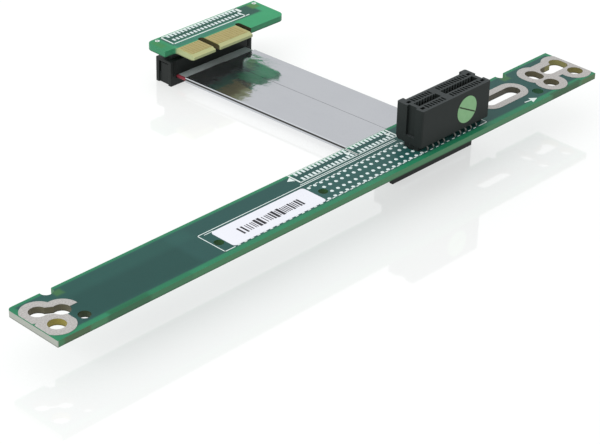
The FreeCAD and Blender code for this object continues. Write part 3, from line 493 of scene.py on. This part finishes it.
# Solder mask of the long board. Its grain is drawn far coarser than the real one, to show.
SLOT_BOARD_FINISH = BoardFinish(
    "green_solder_mask_long_board", "#237B57", "#2C8861", 0.4, specular=0.22,
    mottle_mm=5.0, grain_mm=0.5, grain_height_mm=0.006,
    face=(
        # copper under the mask, darker on the left
        Patch(1.5, 1.5, 177.7, 15.5, "#1F4F4B", 0.35),
        Patch(9.0, 1.9, 42.0, 15.1, "#134540", 1.2, 0.75),
        Patch(1.5, 10.8, 48.0, 15.3, "#296057", 1.4, 0.3),
        # bare laminate beside the edge notches
        Patch(10.6, 13.0, 12.8, 15.0, "#3F7040", 0.5, 0.8),
        Patch(158.0, 13.0, 160.6, 15.0, "#3F7040", 0.5, 0.8),
        # the open footprint
        Patch(80.5, 1.5, 116.0, 9.8, "#265854", 0.6, 0.7),
        # darker stretches of the front edge
        Patch(14.0, -0.5, 25.0, 1.4, "#17603F", 0.6, 0.85),
        Patch(24.5, -0.5, 37.0, 1.4, "#1B6B49", 0.5, 0.5),
        Patch(160.5, -0.5, 173.0, 0.75, "#2C4A30", 0.3, 0.65),
    ),
    wall="#447A55",
    walls=(
        # the left end and the front wall
        Patch(-0.1, -0.2, 0.2, 16.6, "#989C94", 0.1),
        Patch(2.0, -0.3, 8.5, 0.2, "#4B4A34", 0.9, 0.85),
        Patch(13.5, -0.3, 25.0, 0.2, "#244A35", 0.9, 0.85),
        Patch(25.0, -0.3, 37.0, 0.2, "#34654A", 0.8, 0.6),
        Patch(161.5, -0.3, 172.0, 0.2, "#26351F", 1.2, 0.85),
        Patch(173.5, -0.3, 179.1, 0.2, "#5B5C36", 1.2, 0.7),
        # the holes of the left end
        Patch(0.6, 0.6, 12.6, 14.8, "#56523F", 0.3),
        Patch(1.6, 2.6, 6.2, 7.2, "#8A803C", 0.3),
        Patch(8.5, 2.1, 11.9, 5.5, "#2E3B22", 0.3),
        # the holes of the right end
        Patch(161.4, 0.8, 178.4, 14.6, "#524D39", 0.3),
        Patch(172.3, 8.4, 178.4, 14.6, "#7C7848", 0.4),
        Patch(173.8, 2.2, 178.4, 6.8, "#6F683A", 0.3),
        # the long slot, the right tooling hole and the peg holes
        Patch(143.1, 5.6, 158.3, 11.1, "#4A473C", 0.3),
        Patch(158.1, 2.1, 161.5, 5.5, "#2D5A3E", 0.3),
        Patch(37.5, 4.0, 129.5, 7.2, "#30552F", 0.3),
    ))

# Solder mask of the plug card: brighter, because most of the card has no copper.
PLUG_CARD_FINISH = BoardFinish(
    "green_solder_mask_plug_card", "#2A9663", "#36A470", 0.4, specular=0.22,
    mottle_mm=4.0, grain_mm=0.5, grain_height_mm=0.006,
    face=(
        # the left ear, and copper under the mask
        Patch(-0.5, 6.9, 3.6, 15.2, "#1F7F52", 0.7, 0.8),
        Patch(4.1, 8.4, 36.6, 14.0, "#1C5246", 0.6),
        Patch(4.3, 6.8, 26.3, 9.8, "#2A7660", 0.6),
        # bare laminate round the two small holes
        Patch(35.9, 11.0, 38.7, 13.8, "#4B7E3E", 0.6, 0.9),
        Patch(0.9, 9.4, 2.7, 13.4, "#377F42", 0.6, 0.7),
        # the tongue and its bevel
        Patch(3.7, -0.3, 25.1, 6.5, "#A9A66E", 0.2),
        Patch(3.7, -0.3, 25.1, 1.25, "#B2B684", 0.12),
    ),
    wall="#32805A",
    walls=(
        # the tongue, its key notch and the gap beside it
        Patch(3.6, -0.2, 25.2, 6.7, "#A2A87C", 0.3),
        Patch(11.3, 0.6, 13.6, 7.8, "#4A452C", 0.15),
        Patch(24.9, 0.2, 26.9, 7.8, "#3B3A28", 0.15),
        # the plated walls of the two small holes
        Patch(2.4, 12.8, 3.7, 14.0, "#DDE2DE", 0.1),
        Patch(38.0, 12.8, 39.3, 14.0, "#DDE2DE", 0.1),
    ))


# Mesh helpers


def slab(bm: BMesh, low: Sequence[float], high: Sequence[float]) -> None:
    """Add a thin block between two corners.

    Args:
        bm: the mesh that grows.
        low: the lowest corner, in millimetres.
        high: the highest corner.
    """
    low_corner, high_corner = Vector(low) * MM, Vector(high) * MM
    place = Matrix.Translation((low_corner + high_corner) / 2)
    bmesh.ops.create_cube(bm, size=1.0, matrix=place @ Matrix.Diagonal(
        (*(high_corner - low_corner), 1.0)))


def bar(bm: BMesh, start: Sequence[float], end: Sequence[float],
        width: float, base: float, height: float) -> None:
    """Add a thin straight stroke between two points of a level face.

    Args:
        bm: the mesh that grows.
        start: X and Y of one end, in millimetres.
        end: X and Y of the other end.
        width: the stroke's width.
        base: Z of the face.
        height: thickness of the stroke.
    """
    one, two = Vector((*start, base + height / 2)), Vector((*end, base + height / 2))
    run = two - one
    turn = Matrix.Rotation(math.atan2(run.y, run.x), 4, "Z")
    scale = Matrix.Diagonal(((run.length + width) * MM, width * MM, height * MM, 1.0))
    bmesh.ops.create_cube(
        bm, size=1.0, matrix=Matrix.Translation((one + two) / 2 * MM) @ turn @ scale)


def ring(bm: BMesh, centre: Sequence[float], inner: float, outer: float,
         base: float, height: float) -> None:
    """Add a thin flat ring on a level face.

    Args:
        bm: the mesh that grows.
        centre: X and Y of its centre, in millimetres.
        inner: its inner radius.
        outer: its outer radius.
        base: Z of the face.
        height: thickness of the ring.
    """
    section = ((inner, base), (outer, base), (outer, base + height), (inner, base + height))
    points = [bm.verts.new(Vector((centre[0] + r, centre[1], z)) * MM) for r, z in section]
    edges = [bm.edges.new((points[i - 1], points[i])) for i in range(len(points))]
    bmesh.ops.spin(bm, geom=points + edges, cent=Vector((*centre, base)) * MM,
                   axis=(0, 0, 1), angle=math.tau, steps=24, use_merge=True)
    bmesh.ops.recalc_face_normals(bm, faces=bm.faces)


def make_piece(name: str, bm: BMesh, finish: Finish) -> Object:
    """Turn a bmesh into a piece that rides on the root body.

    Args:
        name: the piece's name.
        bm: its mesh, which is freed.
        finish: its finish.

    Returns:
        The new object, at the origin.
    """
    mesh = bpy.data.meshes.new(name)
    bm.to_mesh(mesh)
    bm.free()
    piece = bpy.data.objects.new(name, mesh)
    bpy.context.scene.collection.objects.link(piece)
    mesh.materials.append(finish.make())
    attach(piece, ROOT)
    log.info("%s: %d faces", name, len(mesh.polygons))
    return piece


def round_edges(bm: BMesh, edges: list[bmesh.types.BMEdge], radius: float,
                segments: int) -> list[bmesh.types.BMFace]:
    """Round some edges of a mesh.

    Args:
        bm: the mesh.
        edges: the edges.
        radius: rounding in millimetres.
        segments: flats in each rounding.

    Returns:
        The faces of the roundings.
    """
    return bmesh.ops.bevel(
        bm, geom=edges, offset=radius * MM, offset_type="OFFSET", segments=segments,
        profile=0.5, affect="EDGES", material=-1, clamp_overlap=True)["faces"]


def uprights(bm: BMesh) -> list[bmesh.types.BMEdge]:
    """Find the upright edges that stand at the corners of a mesh's plan.

    Args:
        bm: the mesh.

    Returns:
        The edges.
    """
    near = 0.02 * MM
    limits = [(min(v.co[i] for v in bm.verts), max(v.co[i] for v in bm.verts)) for i in (0, 1)]

    def at_corner(vert: bmesh.types.BMVert) -> bool:
        """Tell whether a vertex is at the limits of both X and Y."""
        return all(min(abs(vert.co[i] - end) for end in limits[i]) < near for i in (0, 1))

    return [e for e in bm.edges if all(at_corner(v) for v in e.verts)
            and (e.verts[0].co - e.verts[1].co).xy.length < near]


def softened(node: Object, name: str, radius: float, finish: Finish,
             upright: float = 0.0) -> Object:
    """Copy a moulded CAD node with its sharp edges rounded, and hide the node.

    Args:
        node: the CAD node's object.
        name: the new piece's name.
        radius: rounding of the edges in millimetres.
        finish: its finish.
        upright: rounding of the upright edges at the corners of its plan.

    Returns:
        The rounded piece.
    """
    bm = bmesh.new()
    bm.from_mesh(node.data)
    bmesh.ops.remove_doubles(bm, verts=bm.verts, dist=SAME_PLACE)
    bmesh.ops.dissolve_limit(bm, angle_limit=FLAT_EDGE, verts=bm.verts, edges=bm.edges,
                             delimit=set())
    if upright:
        round_edges(bm, uprights(bm), upright, segments=4)
    sharp = [e for e in bm.edges if len(e.link_faces) == 2
             and e.calc_face_angle(0.0) > SHARP_EDGE]
    for face in round_edges(bm, sharp, radius, segments=2):
        face.smooth = True
    bmesh.ops.recalc_face_normals(bm, faces=bm.faces)
    piece = make_piece(name, bm, finish)
    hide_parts(node.name)
    return piece


def dress(nodes: dict[str, Object], names: Iterable[str], finish: Finish) -> None:
    """Give CAD nodes their finish.

    Args:
        nodes: the CAD nodes' objects.
        names: the nodes to dress.
        finish: their finish.
    """
    for name in names:
        for place in nodes[name].material_slots:
            place.material = finish.make()
        log.info("%s: dressed in %s", name, finish.name)


# Sub-assemblies


@dataclass
class PrintedBoard:
    """A board with ink on its upper face. Places on it are from its front left corner."""

    nodes: dict[str, Object]  # the CAD nodes' objects
    low: Vector  # the board's lowest corner in the row frame
    top: float  # Z of its upper face
    ink: float = 0.02  # thickness of the ink

    def at(self, x: float, y: float) -> tuple[float, float]:
        """Place of a point of the board in the row frame."""
        return (self.low.x + x, self.low.y + y)

    def masked(self, finish: BoardFinish) -> BoardFinish:
        """The solder mask's finish with its patches laid out from this board's corner."""
        return replace(finish, corner=(self.low.x, self.low.y, self.low.z))

    def stroke(self, bm: BMesh, x0: float, y0: float, x1: float, y1: float,
               width: float) -> None:
        """Add a stroke of ink between two points of the board."""
        bar(bm, self.at(x0, y0), self.at(x1, y1), width, self.top, self.ink)


@dataclass
class SlotBoard(PrintedBoard):
    """The long board: its mask, ink, solder domes, lands and label."""

    slot_line: float = 5.55  # the card slot's centre line
    pitch: float = 2.0  # between contacts of one row
    first_dot: float = 81.65  # first solder dot of the open footprint's outer rows
    inner_shift: float = 3.0  # the inner rows' first dot is this far to its right
    row_outer: float = 3.25  # the outer rows from the slot line
    row_inner: float = 1.25  # the inner rows from the slot line
    outer_dots: int = 17  # dots in each outer row
    inner_dots: int = 15  # dots in each inner row
    dome: float = 0.5  # radius of a solder dome
    dome_rise: float = 0.10  # its height
    outline: Sides = (48.35, 1.85, 137.3, 10.62)  # sides of the open connector's outline
    outline_turn: float = 3.0  # length of its front side at each end
    # the short line in it: its ends, from the left side, and its Y
    outline_inner: tuple[float, float, float] = (1.5, 4.0, 9.95)
    housing_left: float = 112.65  # left end of the housing that covers part of the outline
    dash: float = 0.3  # half the length of a dash
    dash_left: float = 29.0  # the front row's first dash is this far left of the first dot
    front_dashes: int = 41  # dashes in the front row
    rear_dashes: int = 16  # dashes in the rear row
    row_rear: float = 9.3  # the rear row of dashes
    # left end and Y of the line in front of the spare footprints
    spare_rule: tuple[float, float] = (81.3, 11.15)
    # left and right side of each spare footprint
    footprints: Points = ((82.25, 101.55), (101.75, 115.75))
    footprint_sides: tuple[float, float] = (12.0, 16.15)  # their front and rear sides
    # tip and barbs of the arrow at a spare footprint's right side
    end_mark: Points = ((-0.2, 14.1), (-1.7, 14.9), (-1.7, 13.3))
    # those of the arrow to the left of the footprints
    left_mark: Points = ((80.1, 14.3), (81.8, 15.3), (81.8, 13.3))
    # those of the arrow at the board's right end
    right_mark: Points = ((156.7, 1.5), (154.9, 2.9), (154.2, 0.7))
    right_tail: Points = ((152.6, 2.05), (154.3, 1.8))  # the two ends of that arrow's tail
    arrow_part: float = 1.3  # thickness of an arrow head for each part of the ink's
    line: float = 0.22  # width of an outline's line
    thin_line: float = 0.2  # width of a footprint's line
    side_line: float = 0.45  # width of a footprint's left and right sides
    dash_line: float = 0.26  # width of a dash
    tail_line: float = 0.35  # width of the arrow's tail
    bars_at: Sides = (56.6, 4.5, 76.0, 6.8)  # sides of the row of bars on the label
    bar_widths: tuple[float, ...] = (0.25, 0.3, 0.55, 0.8)  # widths that a bar may have
    bar_gaps: tuple[float, ...] = (0.3, 0.4, 0.6)  # gaps that may follow it
    bar_seed: int = 5  # seed of the choice among them

    def arrow(self, bm: BMesh, corners: Iterable[tuple[float, float]]) -> None:
        """Add a solid arrow head, a little prouder than the strokes that it meets.

        Args:
            bm: the mesh that grows.
            corners: its three points on the board, the tip first.
        """
        face = bm.faces.new([bm.verts.new(Vector((*self.at(*point), self.top)) * MM)
                             for point in corners])
        grown = bmesh.ops.extrude_face_region(bm, geom=[face])["geom"]
        bmesh.ops.translate(bm, vec=(0, 0, self.ink * self.arrow_part * MM), verts=[
            part for part in grown if isinstance(part, bmesh.types.BMVert)])

    def draw_outline(self, bm: BMesh) -> None:
        """Add the open connector's outline and its rows of dashes.

        Args:
            bm: the mesh that grows.
        """
        left, front, right, rear = self.outline
        covered = self.housing_left + 1.0  # lines that run under the housing end here
        start, end, inner = self.outline_inner
        rule_left, rule = self.spare_rule
        self.stroke(bm, left, front, left, rear, self.line)
        self.stroke(bm, left, rear, covered, rear, self.line)
        self.stroke(bm, left, front, left + self.outline_turn, front, self.line)
        self.stroke(bm, left + start, inner, left + end, inner, self.thin_line)
        self.stroke(bm, rule_left, rule, covered, rule, self.thin_line)
        self.stroke(bm, right - self.outline_turn, front, right, front, self.line)
        self.stroke(bm, right, front, right, self.slot_line, self.line)
        rows = ((self.first_dot - self.dash_left, front, self.front_dashes),
                (self.first_dot + self.pitch / 2, self.row_rear, self.rear_dashes))
        for first, y, count in rows:
            for i in range(count):
                x = first + self.pitch * i
                self.stroke(bm, x - self.dash, y, x + self.dash, y, self.dash_line)

    def legend(self) -> Object:
        """Print the outlines of the open connector and of the spare footprints.

        Returns:
            The piece.
        """
        bm = bmesh.new()
        self.draw_outline(bm)
        front, rear = self.footprint_sides
        for left, right in self.footprints:
            for y in (front, rear):
                self.stroke(bm, left, y, right, y, self.thin_line)
            for x in (left, right):
                self.stroke(bm, x, front, x, rear, self.side_line)
            self.arrow(bm, [(right + x, y) for x, y in self.end_mark])
        self.arrow(bm, self.left_mark)
        self.arrow(bm, self.right_mark)
        self.stroke(bm, *self.right_tail[0], *self.right_tail[1], self.tail_line)
        bmesh.ops.recalc_face_normals(bm, faces=bm.faces)
        return make_piece("slot_board_legend", bm, LEGEND_INK)

    def bars(self) -> Object:
        """Print a plain row of bars of seeded widths on the label.

        Returns:
            The piece.
        """
        chance = random.Random(self.bar_seed)
        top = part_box("product_label")[1][2] / MM
        bm = bmesh.new()
        x, front, right, rear = self.bars_at
        while x < right:
            width = chance.choice(self.bar_widths)
            x += width / 2
            bar(bm, self.at(x, front), self.at(x, rear), width, top, self.ink / 2)
            x += width / 2 + chance.choice(self.bar_gaps)
        return make_piece("label_bars", bm, BLACK_PRINT)

    def domes(self) -> Object:
        """Fill the open footprint's holes with small domes of solder.

        Returns:
            The piece.
        """
        bm = bmesh.new()
        rows = ((self.row_outer, self.first_dot, self.outer_dots),
                (self.row_inner, self.first_dot + self.inner_shift, self.inner_dots))
        shape = Matrix.Diagonal((self.dome * MM, self.dome * MM, self.dome_rise * MM, 1.0))
        for reach, start, count in rows:
            for side in (-reach, reach):
                for i in range(count):
                    x, y = self.at(start + self.pitch * i, self.slot_line + side)
                    place = Matrix.Translation(Vector((x, y, self.top)) * MM)
                    bmesh.ops.create_uvsphere(
                        bm, u_segments=12, v_segments=6, radius=1.0, matrix=place @ shape)
        cut = bmesh.ops.bisect_plane(
            bm, geom=bm.verts[:] + bm.edges[:] + bm.faces[:], dist=ON_PLANE,
            plane_co=(0, 0, self.top * MM), plane_no=(0, 0, 1), clear_inner=True)
        edges = [e for e in cut["geom_cut"] if isinstance(e, bmesh.types.BMEdge)]
        bmesh.ops.holes_fill(bm, edges=edges)
        bmesh.ops.recalc_face_normals(bm, faces=bm.faces)
        for face in bm.faces:
            face.smooth = len(face.verts) < 5
        piece = make_piece("footprint_solder_domes", bm, SOLDER_DOME)
        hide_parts("open_footprint_pads")
        return piece

    def build(self) -> None:
        """Dress the board and everything printed or soldered on it."""
        dress(self.nodes, ("main_board",), self.masked(SLOT_BOARD_FINISH))
        dress(self.nodes, ("ground_lands",), TINNED)
        dress(self.nodes, ("header_pads_long", "header_pads_short"), SOLDER_DOME)
        dress(self.nodes, ("product_label",), WHITE_PAPER)
        self.legend()
        self.bars()
        self.domes()


@dataclass
class EdgeConnector:
    """The card slot: rounded housing, contacts, tails and the round sticker."""

    nodes: dict[str, Object]  # the CAD nodes' objects
    rounding: float = 0.12  # rounding of the housing's edges
    upright: float = 0.45  # rounding of its four upright corners
    slot_line: float = 5.55  # the slot's centre line from the board's front edge
    slot_half: float = 0.95  # half the slot's width
    # for each part of the slot, its first rib from the board's left end and how many ribs it has
    windows: tuple[tuple[float, int], ...] = ((115.15, 8), (124.15, 12))
    rib_wide: float = 0.45  # width of a rib
    rib_high: float = 1.3  # height of a rib
    rib_proud: float = 0.08  # how far a rib stands out of the wall
    rib_sunk: float = 0.05  # top of a rib below the top of the housing
    rule_turn: float = 27.0  # the sticker's rule is turned by this angle, in degrees
    rule_wide: float = 0.35  # the rule's width
    rule_thick: float = 0.012  # thickness of its ink, most of it sunk in the sticker
    rule_part: float = 0.97  # the rule's length for each part of the sticker's

    def ribs(self) -> Object:
        """Stand the thin ribs between the contact windows on the slot's rear wall.

        Returns:
            The piece.
        """
        low = Vector(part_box("main_board")[0]) / MM
        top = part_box("slot_housing")[1][2] / MM - self.rib_sunk
        wall = low.y + self.slot_line + self.slot_half
        bm = bmesh.new()
        for start, count in self.windows:
            for i in range(count):
                x = low.x + start + i
                slab(bm, (x - self.rib_wide / 2, wall - self.rib_proud, top - self.rib_high),
                     (x + self.rib_wide / 2, wall, top))
        return make_piece("slot_wall_ribs", bm, RIB_BLACK)

    def rule(self) -> Object:
        """Print the dark rule across the sticker.

        Returns:
            The piece.
        """
        low, high = (Vector(c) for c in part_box("slot_sticker"))
        middle = (low + high) / 2
        place = Matrix.Translation((middle.x, low.y + self.rule_thick / 3 * MM, middle.z))
        turn = Matrix.Rotation(math.radians(self.rule_turn), 4, "Y")
        shape = Matrix.Diagonal(((high.z - low.z) * self.rule_part, self.rule_thick * MM,
                                 self.rule_wide * MM, 1.0))
        bm = bmesh.new()
        bmesh.ops.create_cube(bm, size=1.0, matrix=place @ turn @ shape)
        return make_piece("sticker_rule", bm, DARK_PRINT)

    def build(self) -> None:
        """Round the housing and dress its contacts and sticker."""
        softened(self.nodes["slot_housing"], "slot_housing_moulding", self.rounding,
                 MOULDED_BLACK, self.upright)
        dress(self.nodes, ("slot_contacts_front", "slot_contacts_rear", "slot_tail_tips"),
              PLATED_TAIL)
        dress(self.nodes, ("slot_sticker",), GREEN_PAPER)
        self.ribs()
        self.rule()


@dataclass
class CableConnector:
    """A cable socket with its cover and the header above it."""

    nodes: dict[str, Object]  # the CAD nodes' objects
    prefix: str  # first word of its nodes' names
    rounding: float = 0.1  # rounding of the mouldings' edges

    def build(self) -> None:
        """Round the three mouldings and dress the metal."""
        for part in ("socket_body", "socket_cover", "pin_header"):
            name = f"{self.prefix}_{part}"
            softened(self.nodes[name], f"{name}_moulding", self.rounding, SOCKET_BLACK)
        dress(self.nodes, (f"{self.prefix}_header_pins", f"{self.prefix}_socket_contacts"),
              PLATED_TAIL)


@dataclass
class RibbonCable:
    """The ribbon, its marked wire and the film around it."""

    nodes: dict[str, Object]  # the CAD nodes' objects
    seam: float = 14.4  # the film's overlap ends this far from its left side
    lean: float = -3.6 / 69.9  # the ribbon's step in X for each one in Y

    def build(self) -> None:
        """Dress the wires and the film."""
        low, high = (Vector(c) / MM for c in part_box("ribbon_wrap"))
        seam = low.x + self.seam - self.lean * high.y
        dress(self.nodes, ("ribbon_cable",), GREY_VINYL)
        dress(self.nodes, ("pin_one_wire",), RED_VINYL)
        dress(self.nodes, ("ribbon_wrap",),
              replace(SILVER_FILM, seam=seam, lean=self.lean, rim=high.z))


@dataclass
class PlugCard(PrintedBoard):
    """The plug card: mask, fingers, lands and ink. Its front is the tongue's tip."""

    outline: Sides = (5.0, 9.1, 32.5, 14.2)  # sides of the spare footprint's outline
    line: float = 0.36  # width of the outline's line
    side_line: float = 0.4  # width of its left side
    # X, front and rear of the bold mark at its right
    mark: tuple[float, float, float] = (32.2, 12.3, 14.1)
    mark_line: float = 0.9  # width of that mark
    short_side: tuple[float, float] = (31.2, 12.0)  # X and rear end of the short right side
    short_line: float = 0.34  # width of the short right side
    holes: Points = ((3.05, 13.4), (38.65, 13.4))  # the two small holes
    ring_inner: float = 0.41  # inner radius of the ink round a hole
    ring_outer: float = 0.64  # outer radius of that ink

    def legend(self) -> Object:
        """Print the spare footprint's outline, its mark, and rings round the small holes.

        Returns:
            The piece.
        """
        bm = bmesh.new()
        left, front, right, rear = self.outline
        for y in (front, rear):
            self.stroke(bm, left, y, right, y, self.line)
        self.stroke(bm, left, front, left, rear, self.side_line)
        mark_x, mark_front, mark_rear = self.mark
        self.stroke(bm, mark_x, mark_front, mark_x, mark_rear, self.mark_line)
        side_x, side_rear = self.short_side
        self.stroke(bm, side_x, front, side_x, side_rear, self.short_line)
        for x, y in self.holes:
            ring(bm, self.at(x, y), self.ring_inner, self.ring_outer, self.top, self.ink)
        return make_piece("plug_card_legend", bm, LEGEND_INK)

    def build(self) -> None:
        """Dress the card, its fingers and its lands."""
        dress(self.nodes, ("plug_board",), self.masked(PLUG_CARD_FINISH))
        dress(self.nodes, ("gold_fingers_top", "gold_fingers_bottom"), GOLD)
        dress(self.nodes, ("plug_header_pads",), SOLDER_DOME)
        self.legend()


@dataclass(frozen=True)
class Lamp:
    """A square soft light that shines at the origin."""

    name: str  # its name in the scene
    place: tuple[float, float, float]  # where it hangs, in metres
    size: float  # its side, in metres
    power: float  # its power in watts

    def hang(self) -> None:
        """Add the light to the scene."""
        data = bpy.data.lights.new(self.name, "AREA")
        data.shape = "SQUARE"
        data.size = self.size
        data.energy = self.power
        lamp = bpy.data.objects.new(self.name, data)
        lamp.location = self.place
        lamp.rotation_euler = (-Vector(self.place)).to_track_quat("-Z", "Y").to_euler()
        bpy.context.scene.collection.objects.link(lamp)


@dataclass
class Studio:
    """Pale table, soft light and a camera where the photograph's stood."""

    # the camera's place, in metres
    camera_at: tuple[float, float, float] = (-0.29636, -0.30784, 0.23550)
    # its Euler angles, in degrees
    camera_turn: tuple[float, float, float] = (60.0388, -1.6358, -46.1648)
    lens: float = 118.725  # its focal length on a sensor 36 mm wide
    shift: tuple[float, float] = (-0.0258, -0.0259)  # its shift in X and Y
    sky: float = 0.78  # strength of the white surroundings
    # the soft lights
    lamps: tuple[Lamp, ...] = (Lamp("top", (-0.1, 0.1, 0.9), 0.9, 1.2),
                               Lamp("left", (-0.9, 0.1, 0.45), 0.6, 3.6))
    table: str = "#A4A6A5"  # colour of the table, sRGB hex
    glow: float = 0.6  # light that the table gives from below
    table_half: float = 3.0  # half the table's side, in metres

    def floor(self) -> None:
        """Lay a plain white opal table, lit from below, that faintly mirrors the part."""
        bm = bmesh.new()
        bmesh.ops.create_grid(bm, x_segments=1, y_segments=1, size=self.table_half)
        mesh = bpy.data.meshes.new("floor")
        bm.to_mesh(mesh)
        bm.free()
        floor = bpy.data.objects.new("floor", mesh)
        bpy.context.scene.collection.objects.link(floor)
        material = bpy.data.materials.new("opal_acrylic_table")
        material.use_nodes = True
        shader = material.node_tree.nodes["Principled BSDF"]
        shader.inputs["Base Color"].default_value = linear(self.table)
        shader.inputs["Roughness"].default_value = 0.05
        shader.inputs["Specular IOR Level"].default_value = 0.9
        shader.inputs["Emission Color"].default_value = (1.0, 1.0, 1.0, 1.0)
        shader.inputs["Emission Strength"].default_value = self.glow
        mesh.materials.append(material)

    def lights(self) -> None:
        """Set white surroundings and hang the soft lights."""
        world = bpy.data.worlds.new("studio")
        bpy.context.scene.world = world
        world.use_nodes = True
        sky = world.node_tree.nodes["Background"]
        sky.inputs["Color"].default_value = (1.0, 1.0, 1.0, 1.0)
        sky.inputs["Strength"].default_value = self.sky
        for lamp in self.lamps:
            lamp.hang()

    def camera(self) -> None:
        """Set the camera that the photograph's outlines gave."""
        data = bpy.data.cameras.new("camera")
        data.lens = self.lens
        data.sensor_width = 36.0
        data.shift_x, data.shift_y = self.shift
        data.clip_start, data.clip_end = 0.01, 20.0
        camera = bpy.data.objects.new("camera", data)
        camera.location = self.camera_at
        camera.rotation_euler = [math.radians(v) for v in self.camera_turn]
        bpy.context.scene.collection.objects.link(camera)
        bpy.context.scene.camera = camera

    def build(self) -> None:
        """Set up the whole studio."""
        self.camera()
        self.floor()
        self.lights()
        bpy.context.scene.view_settings.view_transform = "Standard"


def main() -> None:
    """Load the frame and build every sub-assembly."""
    logging.basicConfig(level=logging.INFO, format="%(message)s")
    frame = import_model()
    nodes = frame["nodes"]
    board_low, board_high = (Vector(c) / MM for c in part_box("main_board"))
    card_low, card_high = (Vector(c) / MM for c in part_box("plug_board"))
    Studio().build()
    SlotBoard(nodes, board_low, board_high.z).build()
    EdgeConnector(nodes).build()
    for prefix in ("main", "plug"):
        CableConnector(nodes, prefix).build()
    RibbonCable(nodes).build()
    PlugCard(nodes, card_low, card_high.z).build()


if __name__ == "__main__":
    main()
